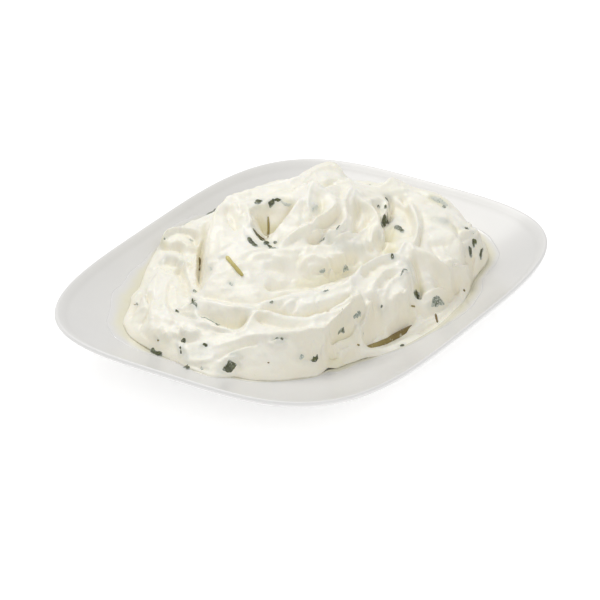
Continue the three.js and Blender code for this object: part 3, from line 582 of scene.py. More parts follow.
# Fine strokes of the spoon: lift, soft width and sharp width in mm, and the places seen. The
# sharp side is at the right hand along the stroke, and a groove's lift is below nothing.
DRAGS = [
    # Left lobes, strings and the deep cleft.
    (0.7, 0.9, 0.6, [(158, 246), (163, 238), (170, 231.5), (178, 229), (187, 229.5), (194, 233),
        (199, 240)]),
    (-0.8, 0.9, 0.7, [(163, 242), (169, 235.5), (177, 232), (185, 232), (192, 235), (197, 241)]),
    (-0.9, 0.8, 0.8, [(160, 251), (168, 249.5), (176, 250), (182, 253), (185, 258)]),
    (1.0, 3.0, 3.0, [(163, 258), (170, 257), (177, 261), (180, 266)]),
    (-1.2, 1.0, 0.8, [(157, 264), (163, 268), (170, 272), (177, 274.5), (181, 271)]),
    (0.6, 1.2, 0.6, [(181, 250), (185, 257), (186, 266), (183, 275)]),
    (0.8, 0.5, 0.5, [(190, 258), (192, 268), (194.5, 278), (198, 290)]),
    (0.6, 0.5, 0.5, [(186, 268), (187.5, 278), (192, 288), (196, 294)]),
    (-0.7, 0.6, 0.6, [(188, 262), (190, 273), (193, 283)]),
    (-2.0, 0.8, 0.9, [(203, 240), (200.5, 252), (199, 264), (198.5, 274), (199, 284)]),
    (0.6, 0.8, 0.6, [(205, 236), (203, 248), (201.5, 260)]),
    # Left ring: two ropes, the outer lobe and the torn sheets.
    (0.9, 1.6, 1.4, [(161, 268), (157, 279), (155, 290), (153, 302), (151, 316), (150, 330)]),
    (-1.0, 0.8, 0.8, [(147.5, 293), (148, 299), (149, 306), (146.5, 315), (142, 325), (139, 332)]),
    (0.9, 2.2, 2.0, [(137, 294), (135, 302), (137, 309)]),
    (0.9, 2.4, 0.8, [(175, 322), (168, 313), (165, 303), (165.5, 293), (168, 284), (173, 277)]),
    (-0.6, 1.0, 1.0, [(170, 284), (168.5, 294), (170, 305), (175, 314)]),
    (0.5, 0.8, 0.6, [(178, 279), (176, 289), (175.5, 298), (178, 306)]),
    (0.8, 1.6, 0.6, [(198, 300.5), (193, 297), (190, 292), (186, 286), (181, 282)]),
    (0.8, 0.8, 0.6, [(175, 311.5), (179, 307.5), (185, 305), (191, 305), (196, 309)]),
    (-0.8, 0.8, 0.8, [(178, 311), (185, 309), (192, 310)]),
    (0.7, 1.4, 0.6, [(206, 326), (197, 322), (189, 319.5), (182, 316.5), (176, 312)]),
    (0.6, 1.3, 1.0, [(125, 324), (133, 316), (141, 311), (147, 309)]),
    (0.8, 0.6, 0.6, [(149, 264), (150, 268), (151, 272)]),
    (0.6, 1.0, 0.8, [(151, 258), (153, 255), (156, 253)]),
    (0.8, 1.4, 1.4, [(165, 333), (167, 337), (170, 341)]),
    (0.6, 1.0, 1.0, [(171, 332), (174, 334), (177, 338)]),
    (0.6, 1.2, 1.0, [(154, 334), (156, 338), (159, 342)]),
    (-0.6, 0.8, 0.8, [(162, 327), (160.5, 335), (161, 342)]),
    (-0.5, 0.8, 0.8, [(175, 316), (174, 322), (171, 327)]),
    (-0.6, 1.2, 1.0, [(141, 332), (147, 338), (150, 346)]),
    (0.7, 1.0, 0.8, [(152, 352), (160, 355.5), (169, 357), (177, 357)]),
    # Leaf band, the yellow cup beside it and the ropes in front.
    (0.9, 1.5, 0.7, [(256, 309), (243, 309), (228, 306), (214, 303), (202, 301.5), (194, 303)]),
    (-0.8, 0.9, 0.6, [(197, 308), (200, 315), (206, 320.5), (213, 324), (222, 325)]),
    (0.7, 1.0, 0.6, [(200, 321), (209, 325), (219, 329), (229, 331.5), (235, 332)]),
    (-0.6, 0.5, 0.5, [(214, 330.5), (223, 332), (231, 333)]),
    (0.8, 1.8, 0.8, [(266, 309.5), (258, 311.5), (252, 317), (248, 325), (243, 331), (236, 333)]),
    (1.4, 1.7, 1.7, [(180, 329), (182, 332), (184, 337)]),
    (1.6, 2.2, 2.0, [(184, 335), (190, 335.5), (196, 334.5), (200, 332)]),
    (-0.8, 0.8, 0.8, [(178, 328), (179.5, 336), (184, 341), (191, 342), (199, 340)]),
    (0.8, 1.2, 1.2, [(196, 328), (200, 325.5), (204, 325), (209, 328)]),
    (0.9, 2.0, 0.6, [(179, 362), (190, 364), (200, 363.5), (210, 361.5), (218, 359)]),
    (-1.6, 0.9, 0.9, [(181, 366), (192, 367.5), (201, 370), (209, 371)]),
    (0.6, 1.6, 0.5, [(177.5, 343), (179, 353), (181, 361)]),
    (-1.0, 1.0, 0.9, [(211, 362), (220, 357), (229, 352), (238, 348), (248, 345), (259, 343)]),
    (0.7, 1.6, 0.9, [(212, 348), (224, 345), (236, 341.5), (248, 338), (260, 336.5), (274, 336)]),
    (0.5, 1.2, 1.0, [(222, 361), (232, 353), (242, 349.5), (254, 346)]),
    (-0.9, 1.2, 1.6, [(242, 356), (239, 365), (240, 376)]),
    (0.8, 0.8, 0.7, [(267, 342), (274, 347), (281, 347.5), (288, 344)]),
    (0.7, 1.2, 1.2, [(273, 342.5), (279, 342), (285, 341.5)]),
    (-0.7, 0.6, 0.7, [(270, 340), (280, 337.5), (291, 338)]),
    (0.8, 1.2, 0.6, [(220, 365), (227, 360.5), (235, 360.5), (241, 365)]),
    # Top at the left and the mouth of the hollow.
    (-1.0, 1.4, 1.2, [(229, 207), (226, 214), (229, 222), (236, 231)]),
    (-0.7, 1.0, 1.0, [(213, 216), (212.5, 225), (211, 233)]),
    (-0.5, 1.0, 1.0, [(239, 205), (241, 209), (243, 214)]),
    (0.7, 0.8, 0.6, [(246, 203), (248, 214), (251, 224), (257, 234)]),
    (-0.5, 0.5, 0.5, [(244.5, 212), (247, 223), (251, 232)]),
    (0.5, 0.6, 0.6, [(242, 223), (243, 233), (247, 241)]),
    (0.7, 1.5, 1.0, [(216, 207), (224, 201), (234, 196)]),
    (0.6, 1.2, 1.2, [(236, 196), (243, 193.5), (252, 193)]),
    (-0.6, 1.0, 1.0, [(232, 199), (238, 204), (240, 210)]),
    (0.9, 1.0, 0.7, [(248, 211), (256, 207), (262, 206), (268, 207)]),
    (0.9, 1.6, 0.6, [(301, 199), (295, 208), (289, 217), (283, 225), (277, 232), (270, 239)]),
    (0.7, 0.9, 0.9, [(219, 259), (223, 256), (227, 253.5)]),
    (-0.6, 1.5, 1.5, [(230, 263), (241, 261), (249, 255)]),
    (0.8, 1.4, 0.8, [(244, 253), (258, 250.5), (272, 250.5), (287, 252), (302, 251)]),
    (0.6, 1.0, 1.0, [(250, 258), (262, 254), (274, 254)]),
    (-0.6, 1.0, 1.0, [(251, 262), (262, 259), (274, 257)]),
    (0.5, 1.0, 1.0, [(273, 255), (278, 256), (284, 258)]),
    (-1.2, 3.0, 3.0, [(264, 265), (280, 268), (290, 276), (294, 285)]),
    (0.5, 1.5, 1.5, [(252, 266), (268, 275), (282, 286)]),
    (0.5, 2.0, 2.0, [(238, 261), (248, 270), (253, 283)]),
    # The two peaks and their ribbons.
    (0.9, 1.6, 0.6, [(300, 225), (305, 215), (308, 206), (309.5, 196), (311.5, 188), (314, 181)]),
    (0.9, 1.4, 0.7, [(314, 181), (319, 187.5), (325, 191), (331, 195), (338, 200), (347, 204)]),
    (-0.6, 2.2, 2.2, [(317, 192), (321, 203), (318, 214)]),
    (0.9, 0.6, 0.6, [(307.5, 204), (310.5, 213), (314, 218), (320, 221)]),
    (-0.8, 1.0, 0.8, [(308.5, 210), (311, 219), (312, 228)]),
    (-0.7, 1.2, 1.2, [(304, 212), (301, 220), (299, 228)]),
    (0.9, 0.9, 0.9, [(336, 205), (326, 213), (317, 219.5), (309, 226), (298, 231.5), (285, 241)]),
    (-1.0, 2.0, 1.6, [(338, 211), (330, 221), (319, 228)]),
    (0.8, 0.8, 0.6, [(345, 203), (345, 216), (342, 225), (334, 231)]),
    (0.8, 1.0, 1.2, [(340, 230), (326, 231.5), (317, 233.5), (310, 240)]),
    (1.0, 1.5, 1.5, [(320, 238), (325, 236.5), (331, 236)]),
    (0.8, 1.5, 1.5, [(311, 240), (315, 237.5), (320, 236)]),
    (-0.9, 1.0, 0.8, [(310, 243), (320, 244), (328, 244), (336, 240)]),
    (0.8, 1.2, 0.9, [(343, 208), (346, 197), (351, 187)]),
    (0.8, 0.9, 0.9, [(347, 188), (354, 188), (359, 191), (365, 197)]),
    (0.6, 0.8, 0.8, [(355, 188), (353, 197), (350, 208)]),
    (-1.2, 2.0, 2.0, [(362, 203), (358, 213), (354, 224)]),
    (0.9, 0.7, 0.7, [(361, 199), (369, 205.5), (374, 211), (377.5, 219), (379, 230)]),
    (0.8, 1.0, 0.7, [(350, 238), (358, 235), (365, 230.5), (371, 222), (375, 213)]),
    (-1.2, 1.2, 1.0, [(350, 234), (358, 231), (364, 226), (370, 217)]),
    (0.9, 1.2, 0.8, [(360, 237), (350, 234.5), (343, 236.5), (334, 241)]),
    (1.2, 3.5, 3.5, [(334, 248), (350, 246), (364, 250)]),
    (0.7, 0.8, 0.8, [(364, 235), (355, 240), (351, 249)]),
    (0.8, 0.8, 0.8, [(374, 224), (371, 236), (372, 245), (378, 256)]),
    (-0.8, 0.8, 0.8, [(369, 230), (368, 242), (372, 252)]),
    (0.8, 1.0, 0.8, [(301, 185), (309, 176), (317, 170.5), (326, 168), (334, 168.5), (341, 174),
        (352, 182)]),
    (0.7, 0.9, 0.8, [(294, 191), (304, 186), (312, 178)]),
    (-1.0, 1.2, 1.0, [(317, 188), (329, 185), (338, 184), (349, 184)]),
    (0.7, 1.0, 0.8, [(319, 183), (332, 180), (342, 181.5), (354, 185)]),
    (0.7, 1.2, 1.0, [(288, 183), (296, 179.5), (305, 178)]),
    # The middle knob, the channel and the long roll beside it.
    (0.9, 1.4, 1.0, [(300, 271), (304, 262), (311, 258.5), (322, 259), (331, 261), (335, 267)]),
    (0.6, 1.5, 1.5, [(306, 267), (320, 267), (332, 266)]),
    (-0.7, 1.2, 1.0, [(302, 272), (314, 272), (324, 270.5), (334, 266)]),
    (0.4, 0.7, 0.5, [(298, 283), (315, 284.5), (330, 280), (345, 272), (360, 263)]),
    (0.4, 0.6, 0.6, [(280, 290), (300, 288.5), (318, 288), (333, 283)]),
    (0.7, 0.8, 0.8, [(342, 274), (345, 270), (350, 269), (355, 272)]),
    (0.9, 1.6, 0.8, [(374, 261), (364, 267), (357, 274), (350, 281), (343, 285.5), (335, 288.5),
        (325, 293), (313, 293), (304, 295.5), (290, 296), (281, 300), (269, 304)]),
    (0.8, 1.4, 1.4, [(281, 313), (287, 305), (296, 300)]),
    (-0.8, 0.9, 0.9, [(282, 301), (280, 308), (284, 315)]),
    (-0.9, 1.0, 1.0, [(298, 298), (294, 307), (290, 315)]),
    (-0.6, 0.8, 0.8, [(317, 295), (316, 302), (320, 308)]),
    (0.7, 2.0, 2.0, [(302, 305), (320, 302), (338, 296)]),
    (0.9, 1.4, 0.5, [(350, 279), (350.5, 291), (350, 302)]),
    (-1.4, 0.9, 0.8, [(260, 309.5), (276, 312.5), (292, 316), (306, 316.5), (317, 314),
        (328, 310), (339, 306), (350, 300)]),
    (0.5, 0.6, 0.6, [(264, 316), (268, 313), (273, 316), (278, 318)]),
    # The leaf lump, the yellow bowl and the crusty ridge.
    (1.6, 2.2, 2.0, [(368, 204), (378, 201), (384, 204), (386, 212), (383, 221)]),
    (-1.6, 1.0, 1.0, [(388, 197), (391, 206), (390, 213), (386, 221)]),
    (-1.6, 1.0, 1.0, [(378, 223), (385, 222.5), (391, 216)]),
    (-1.0, 0.8, 0.8, [(378, 206), (381, 215), (380, 222)]),
    (1.0, 1.2, 1.2, [(380, 228), (384, 238), (383, 250)]),
    (0.5, 0.5, 0.5, [(378, 232), (382, 241), (382, 250)]),
    (0.8, 1.2, 1.0, [(379, 189), (388, 183), (392, 180), (399, 186)]),
    (0.6, 1.0, 1.0, [(390, 193), (402, 190), (412, 192), (423, 198), (436, 208)]),
    (-0.6, 0.8, 0.8, [(402, 187), (414, 190), (426, 196)]),
    (0.9, 1.0, 0.7, [(426, 196), (436, 197.5), (443, 202), (451, 209)]),
    (-0.7, 0.8, 0.8, [(428, 198), (437, 202), (446, 209)]),
    (0.7, 1.0, 1.0, [(445, 206), (455, 214), (462, 222), (470, 228)]),
    (1.0, 0.8, 0.8, [(409, 201), (415, 211), (417, 221)]),
    (1.1, 0.8, 0.7, [(417, 217), (417.5, 226), (416, 235)]),
    (0.9, 0.8, 0.7, [(416, 231), (414.5, 240), (411, 248)]),
    (0.7, 0.8, 0.8, [(420, 214), (421, 222), (421, 232)]),
    (-1.0, 0.8, 0.8, [(421, 230), (420, 239), (417, 247)]),
    (0.5, 0.8, 0.8, [(404, 201), (411, 209), (414, 217), (414, 228), (411, 240)]),
    (0.8, 5.0, 5.0, [(430, 240), (441, 240), (452, 242)]),
    (-0.8, 1.2, 1.2, [(429, 242), (434, 253), (441, 263)]),
    (0.6, 1.0, 1.0, [(438, 241), (442, 249), (445, 256)]),
    (-0.8, 1.0, 0.8, [(448, 217), (455, 226), (457, 233), (455, 240)]),
    (0.8, 2.2, 2.2, [(434, 220), (441, 220), (448, 222)]),
    (0.9, 0.9, 0.9, [(466, 228), (473, 226), (478, 231), (481, 239)]),
    (0.8, 1.0, 0.8, [(479, 237), (484, 247), (488, 259)]),
    (1.0, 2.0, 2.0, [(476, 258), (479, 265), (480, 272)]),
    (-1.0, 0.9, 0.9, [(469, 250), (473, 258), (472, 266), (473, 277)]),
    (0.7, 1.0, 1.0, [(459, 232), (468, 232), (476, 237)]),
    (-0.7, 0.8, 0.8, [(460, 241), (468, 236), (476, 232)]),
    (-0.9, 1.0, 1.0, [(445, 262), (455, 263), (463, 262), (472, 258)]),
    # The small peak, the pocket and its slab, pit and shelf.
    (1.2, 1.2, 1.0, [(398, 255), (404, 245), (408, 243.5), (414, 251)]),
    (0.8, 1.0, 0.7, [(400, 258), (394, 254.5), (386, 256), (375, 260)]),
    (0.9, 1.0, 0.9, [(421, 252), (432, 256), (440, 264), (448, 271), (452, 280), (452, 293)]),
    (-1.2, 3.0, 3.0, [(428, 266), (436, 278), (438, 288)]),
    (0.5, 0.8, 0.8, [(420, 279), (428, 285), (434, 289)]),
    (0.4, 0.8, 0.8, [(426, 272), (438, 279), (449, 281)]),
    (0.9, 0.9, 0.8, [(407, 255), (411, 266), (414, 275), (416, 288)]),
    (-1.0, 0.7, 0.7, [(412, 258), (417, 271), (418.5, 281), (419, 291)]),
    (-0.8, 0.7, 0.7, [(407, 268), (410, 280), (412, 292)]),
    (-3.0, 1.5, 1.5, [(414, 288), (418, 293), (420, 299)]),
    (0.9, 1.5, 0.8, [(369, 292), (377, 279.5), (384, 273), (392, 269.5), (400, 270), (407, 276)]),
    (-0.9, 1.4, 1.2, [(374, 294), (381, 283), (388, 277), (399, 273.5)]),
    (0.8, 1.2, 0.9, [(383, 300), (388, 288), (393, 281), (401, 276.5)]),
    (0.8, 1.2, 1.2, [(396, 292), (401, 302), (404, 312)]),
    (0.7, 0.9, 0.9, [(404, 289), (406, 295), (408, 302)]),
    (0.4, 1.5, 1.5, [(379, 301), (383, 310), (382, 320)]),
    (0.6, 1.2, 1.0, [(388, 297), (393, 307), (391, 318)]),
    (-0.3, 1.0, 1.0, [(388, 293), (388, 305), (385, 316)]),
    (0.6, 0.6, 0.6, [(400, 278), (404, 272), (409, 271)]),
    (0.9, 1.0, 1.2, [(421, 298), (430, 293.5), (438, 291), (448, 295)]),
    (0.5, 0.8, 0.8, [(422, 305), (434, 300), (448, 296)]),
    (0.8, 1.0, 0.8, [(451, 266), (460, 268.5), (466, 272), (471.5, 275.5), (473, 284)]),
    (0.5, 0.8, 0.8, [(457, 272), (463, 281), (463, 292)]),
    # The skirt: fine streaks that run along it and the lip over the stem.
    (0.6, 0.7, 0.5, [(410, 331), (428, 321), (440, 315), (450, 305.5), (460, 293.5), (470, 280)]),
    (0.4, 0.5, 0.5, [(420, 330), (436, 321), (446, 312), (456, 301), (466, 289)]),
    (0.4, 0.5, 0.5, [(408, 324), (426, 315), (438, 309), (451, 297)]),
    (0.8, 1.2, 0.6, [(374, 340), (386, 331), (394, 323), (400, 314)]),
    # The scoop, its rib, the front corner with its cave and the front face.
    (0.9, 1.6, 0.6, [(321, 335), (330, 326), (340, 317.5), (350, 308), (360, 300)]),
    (-1.0, 1.0, 0.8, [(324, 344), (334, 340.5), (342, 337), (350, 332), (356, 322)]),
    (0.8, 1.2, 0.6, [(335, 372), (327, 366), (325, 359), (322.5, 355), (324, 349), (325, 342),
        (322, 333)]),
    (-1.3, 1.2, 1.6, [(327, 363), (334, 363), (340, 362)]),
    (0.9, 0.9, 0.6, [(326, 356), (334, 358), (340, 357), (347, 353)]),
    (0.6, 0.9, 0.8, [(326, 351), (336, 353), (345, 351), (354, 346)]),
    (-0.5, 0.7, 0.7, [(328, 347), (340, 348), (350, 343)]),
    (0.9, 1.2, 0.6, [(360, 337), (364, 327), (368, 318), (373, 308)]),
    (-0.6, 0.7, 0.7, [(355, 336), (359, 325), (362, 316), (367, 307)]),
    (-0.5, 1.5, 1.2, [(302, 346), (309, 352), (312, 360)]),
    (0.5, 1.0, 0.8, [(313, 341), (312.5, 350), (313, 358)]),
    (0.8, 1.4, 0.8, [(294, 337), (305, 332.5), (314, 331.5), (324, 333)]),
    (-1.2, 0.9, 0.9, [(296, 377), (306, 376.5), (317, 375)]),
    (-0.6, 1.2, 1.2, [(295, 362), (304, 358), (312, 357), (322, 356)]),
]


# ---- the heap's surface --------------------------------------------------------------------

# The film starts flat at this height in mm. It is swept so often on each grid, from the
# coarsest to the finest, and each sweep goes this far past the mean on coarse and fine ones.
FIRST_HEIGHT = 30.0
SWEEPS = (400, 200, 120, 80, 60)
COARSE_PUSH, FINE_PUSH, FINE_LEVELS = 1.85, 1.7, 3
# The film is brushed this soft, in mm, on a crest and in a crease. A crest or crease is felt
# out to its reach in mm, and FAINT is how little of either still counts.
CREST_SOFTNESS, CREASE_SOFTNESS = 1.1, 0.5
CREST_REACH, CREASE_REACH, FAINT = 2.0, 1.4, 0.03
# The relief within each radius, in mm, is made deeper by this share of itself.
SHARPER = [(4.0, 0.55), (1.6, 0.5)]
# Relief grows to its full depth over these distances from the footprint's edge, in mm.
SHARP_ROOM, FINE_ROOM = 5, 4
STEEPEST = 2.6
# A brush has fallen off to nothing at this many of its widths. A fine stroke fades out over
# this share of its run at each end.
FALL_REACH, DRAG_FADE = 2.2, 0.22
BACK_DRAG_COUNT = 110
LUMP_COUNT = 320
# The cut texture: depth and size in mm, and the draw, of each noise.
TEXTURE = [(0.20, 5.5, 21), (0.13, 2.4, 22), (0.06, 1.2, 23)]
# Lines of sight are followed down through these heights, in mm. A place is hidden when it
# lies this far behind what its line of sight meets.
SIGHT_LEVELS = np.arange(58.0, 4.0, -0.05)
HIDDEN_BEHIND = 1.5


@lru_cache(maxsize=None)
def footprint_reaches():
    """Angle and distance of the footprint's outline about the heap's middle."""
    front = well_seen_at(FOOTPRINT_SEEN)
    path = smooth_path(np.vstack([front, laid_at(FOOTPRINT_BACK)]), 8, closed=True)
    du, dv = path[:, 0] - HEAP_MIDDLE[0], path[:, 1] - HEAP_MIDDLE[1]
    order = np.argsort(np.arctan2(dv, du))
    return np.arctan2(dv, du)[order], np.hypot(du, dv)[order]


def footprint_reach(du, dv):
    """Distance from the heap's middle to its outline in the direction (du, dv)."""
    angles, reaches = footprint_reaches()
    return np.interp(np.arctan2(dv, du), angles, reaches, period=2 * math.pi)


def edge_room(u, v):
    """How far inside the footprint a place lies, in mm, along its ray from the middle."""
    du, dv = u - HEAP_MIDDLE[0], v - HEAP_MIDDLE[1]
    return footprint_reach(du, dv) - np.hypot(du, dv)


def stamped(paths, step, shape):
    """Sum of the heights and the count of stroke places that fall on each grid node."""
    held, hits = np.zeros(shape), np.zeros(shape)
    for path in paths:
        i = np.rint((path[:, 0] - HEAP_LOW[0]) / step).astype(int)
        j = np.rint((path[:, 1] - HEAP_LOW[1]) / step).astype(int)
        np.add.at(held, (j, i), path[:, 2])
        np.add.at(hits, (j, i), 1)
    return held, hits


def drawn_film(paths, step, swell):
    """A film of dip over the strokes: each free node takes the mean of its neighbours plus
    the swell, from a coarse grid to the finest, and off the footprint it lies on the well."""
    field = None
    for level, sweeps in zip(reversed(range(len(SWEEPS))), SWEEPS):
        size = step * 2**level
        u, v = height_grid(size)
        held, hits = stamped(paths, size, u.shape)
        outside = edge_room(u, v) < 0
        fixed = outside | (hits > 0)
        target = np.where(outside, well_under(u, v), held / np.maximum(hits, 1))
        start = FIRST_HEIGHT if field is None else read_grid(field, size * 2, u, v)
        field = np.where(fixed, target, start)
        checker = np.add.outer(np.arange(u.shape[0]), np.arange(u.shape[1])) % 2 == 0
        free = [(~fixed & part)[1:-1, 1:-1] for part in (checker, ~checker)]
        rise = swell * size * size / 4
        push = FINE_PUSH if level < FINE_LEVELS else COARSE_PUSH
        for _ in range(sweeps):
            for part in free:
                mean = (field[:-2, 1:-1] + field[2:, 1:-1] + field[1:-1, :-2]
                        + field[1:-1, 2:]) / 4 + rise
                inner = field[1:-1, 1:-1]
                inner += np.where(part, push * (mean - inner), 0)
    return field


@lru_cache(maxsize=None)
def swirled_heap():
    """Heights of the dip on the grid: the film over the strokes, softer on its crests than
    in its creases, with its relief made deeper."""
    sizes = dip_sizes()
    step = sizes.step / MM

    def paths(seen, laid):
        placed = [seen_at(s) for s in seen.values()] + [laid_at(s) for s in laid.values()]
        return [dense_path(stroke, step / 2) for stroke in placed]

    def felt(strokes, reach):
        return softened((stamped(strokes, step, film.shape)[1] > 0) * 1.0, reach, step)

    crests, creases = paths(CRESTS, BACK_CRESTS), paths(CREASES, BACK_CREASES)
    film = drawn_film(crests + creases + paths(SLOPES, {}), step, sizes.swell)
    on_crest, on_crease = felt(crests, CREST_REACH), felt(creases, CREASE_REACH)
    round_share = np.clip(on_crest / (on_crest + on_crease + FAINT), 0, 1)
    field = (softened(film, CREASE_SOFTNESS, step) * (1 - round_share)
             + softened(film, CREST_SOFTNESS, step) * round_share)
    inside = np.clip(edge_room(*height_grid(step)) / SHARP_ROOM, 0, 1)
    for radius, gain in SHARPER:
        field = field + inside * gain * (field - softened(field, radius, step))
    return field


def steepness(field, step):
    """How far up a place has to move to come out by 1 along its own normal."""
    along_v, along_u = np.gradient(softened(field, 1.0, step), step)
    return np.minimum(np.sqrt(1 + along_u**2 + along_v**2), STEEPEST)


def back_drags():
    """Fine strokes on the side away from the viewer, drawn at random: arcs round the heap's
    middle that wander in or out, as the spoon went."""
    rng = np.random.default_rng(dip_sizes().seed + 1)
    drags = []
    for _ in range(BACK_DRAG_COUNT):
        lift = rng.choice([1, 1, -1]) * rng.uniform(0.5, 1.1)
        soft, sharp = rng.uniform(0.8, 2.2), rng.uniform(0.6, 1.2)
        heading = math.radians(rng.uniform(12, 168))
        reach = footprint_reach(math.cos(heading), math.sin(heading)) * rng.uniform(0.45, 0.95)
        turn = rng.choice([-1, 1]) * rng.uniform(8, 24) / reach
        share = np.linspace(0, 1, 4)
        angle = heading + turn * share
        far = reach + rng.uniform(-7, 5) * share + rng.uniform(-1.5, 1.5, 4)
        marks = np.stack([far * np.cos(angle), far * np.sin(angle)], axis=1) + HEAP_MIDDLE
        drags.append((lift, soft, sharp, marks))
    return drags


def drag_relief(field, step):
    """Relief of the fine strokes: the lift of each, full on its line, falls off over the
    soft width on its left and the sharp width on its right, as measured over the slope, and
    fades at both ends."""
    u, v = height_grid(step)
    relief = np.zeros_like(field)
    places = [(drag[:3], on_surface(*smooth_path(drag[3], 8).T, field)) for drag in DRAGS]
    hidden = [drag for drag in back_drags() if hidden_away(drag[3], field)]
    places += [(drag[:3], laid_on(drag[3], field)) for drag in hidden]
    for (lift, soft, sharp), path in places:
        path = dense_path(path, 0.5)
        heading = np.gradient(path[:, :2], axis=0)
        reach = FALL_REACH * max(soft, sharp)
        best, nearest = np.full(field.shape, np.inf), np.zeros(field.shape, int)
        for k, (cu, cv, cz) in enumerate(path):
            part = window(cu, cv, reach, step)
            far = (u[part] - cu) ** 2 + (v[part] - cv) ** 2 + (field[part] - cz) ** 2
            closer = far < best[part]
            best[part] = np.where(closer, far, best[part])
            nearest[part] = np.where(closer, k, nearest[part])
        far = np.sqrt(best)
        left = (heading[nearest, 0] * (v - path[nearest, 1])
                - heading[nearest, 1] * (u - path[nearest, 0])) > 0
        share = nearest / max(len(path) - 1, 1)
        ends = np.clip(np.minimum(share, 1 - share) / DRAG_FADE, 0, 1)
        fall = np.exp(-(far / np.where(left, soft, sharp)) ** 2)
        relief += lift * fall * np.sqrt(ends)
    return relief


def window(cu, cv, reach, step):
    """Slices of the grid round (cu, cv) out to this reach."""
    i, j = int((cu - HEAP_LOW[0]) / step), int((cv - HEAP_LOW[1]) / step)
    near = int(reach / step) + 1
    return slice(max(j - near, 0), max(j + near, 1)), slice(max(i - near, 0), max(i + near, 1))


def small_lumps(u, v, field, step):
    """Lumps of buried herb as low round domes, and three sizes of noise for the cut texture."""
    rng = np.random.default_rng(dip_sizes().seed)
    lumps = np.zeros_like(u)
    for _ in range(LUMP_COUNT):
        angle, share = rng.uniform(-math.pi, math.pi), math.sqrt(rng.uniform(0.02, 0.94))
        reach = share * footprint_reach(math.cos(angle), math.sin(angle))
        cu = HEAP_MIDDLE[0] + reach * math.cos(angle)
        cv = HEAP_MIDDLE[1] + reach * math.sin(angle)
        radius, high = rng.uniform(0.7, 2.0), rng.uniform(0.15, 0.6)
        turn, stretch = rng.uniform(0, math.pi), rng.uniform(1.0, 2.2)
        part = window(cu, cv, FALL_REACH * radius * stretch, step)
        du, dv = u[part] - cu, v[part] - cv
        dz = field[part] - read_grid(field, step, cu, cv)
        along = (du * math.cos(turn) + dv * math.sin(turn)) / stretch
        across = dv * math.cos(turn) - du * math.sin(turn)
        lumps[part] += high * np.exp(-((along**2 + across**2 + dz**2) / radius**2) ** 1.5)
    places = np.stack([u, v, field], axis=-1)
    for depth, size, draw in TEXTURE:
        lumps = lumps + depth * lattice_noise(places, size, draw)
    return lumps


@lru_cache(maxsize=None)
def heap_surface():
    """The swirled heap with the fine strokes and the small lumps, each added along the
    slope's own normal."""
    step = dip_sizes().step / MM
    field = swirled_heap()
    u, v = height_grid(step)
    inside = np.clip(edge_room(u, v) / FINE_ROOM, 0, 1)
    return field + inside * steepness(field, step) * (
        drag_relief(field, step) + small_lumps(u, v, field, step))


def heap_height(u, v):
    """Height of the finished heap at places (u, v)."""
    return read_grid(heap_surface(), dip_sizes().step / MM, u, v)


def laid_on(marks, field):
    """Marks (u, v) at the height of the field."""
    u, v = smooth_path(marks, 8).T
    return np.stack([u, v, read_grid(field, dip_sizes().step / MM, u, v)], axis=1)


def hidden_away(marks, field):
    """Whether the viewer sees none of the marks: each line of sight meets the dip before."""
    points = laid_on(marks, field)
    place, right, above, forward = sight_frame()
    ray = points - place
    depth = ray @ forward
    reach = UNITS_PER_MM * studio_setup().distance / MM
    across = SIGHT[0] + reach * (ray @ right) / depth
    down = SIGHT[1] - reach * (ray @ above) / depth
    first = on_surface(across, down, field)
    return np.all(points[:, 1] - first[:, 1] > HIDDEN_BEHIND)


def on_surface(across, down, field=None):
    """Where the lines of sight through picture places first meet the dip or the well."""
    field = heap_surface() if field is None else field
    place = sight_frame()[0]
    ray = sight_lines(across, down)
    reach = (SIGHT_LEVELS[None, :] - place[2]) / ray[:, 2][:, None]
    u = place[0] + ray[:, 0][:, None] * reach
    v = place[1] + ray[:, 1][:, None] * reach
    ground = np.maximum(read_grid(field, dip_sizes().step / MM, u, v), well_under(u, v))
    first = np.argmax(SIGHT_LEVELS[None, :] < ground, axis=1)
    pick = np.arange(len(first))
    return np.stack([u[pick, first], v[pick, first], SIGHT_LEVELS[first]], axis=1)


# ---- meshes --------------------------------------------------------------------------------


def new_piece(name, points, quads, triangles=(), numbers=None, smooth=None):
    """A mesh object from heap-frame points in mm, quads and triangles, riding on the object's
    one body. Only the first faces are smooth where their count is given. Numbers are
    attributes by name, one value for each point."""
    mesh = bpy.data.meshes.new(name)
    quads = np.asarray(quads, int).reshape(-1, 4)
    triangles = np.asarray(triangles, int).reshape(-1, 3)
    mesh.vertices.add(len(points))
    mesh.vertices.foreach_set("co", (np.asarray(points) * MM).astype(np.float32).ravel())
    corners = np.r_[quads.ravel(), triangles.ravel()].astype(np.int32)
    mesh.loops.add(len(corners))
    mesh.loops.foreach_set("vertex_index", corners)
    mesh.polygons.add(len(quads) + len(triangles))
    starts = np.r_[np.arange(len(quads)) * 4, 4 * len(quads) + 3 * np.arange(len(triangles))]
    mesh.polygons.foreach_set("loop_start", starts.astype(np.int32))
    smooth = len(starts) if smooth is None else smooth
    mesh.polygons.foreach_set("use_smooth", np.arange(len(starts)) < smooth)
    mesh.update(calc_edges=True)
    for key, values in (numbers or {}).items():
        layer = mesh.attributes.new(key, "FLOAT", "POINT")
        layer.data.foreach_set("value", np.asarray(values, np.float32).ravel())
    if mesh.validate():
        raise RuntimeError(f"{name} has faces that Blender had to mend")
    piece = bpy.data.objects.new(name, mesh)
    bpy.context.scene.collection.objects.link(piece)
    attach(piece, "root")
    return piece


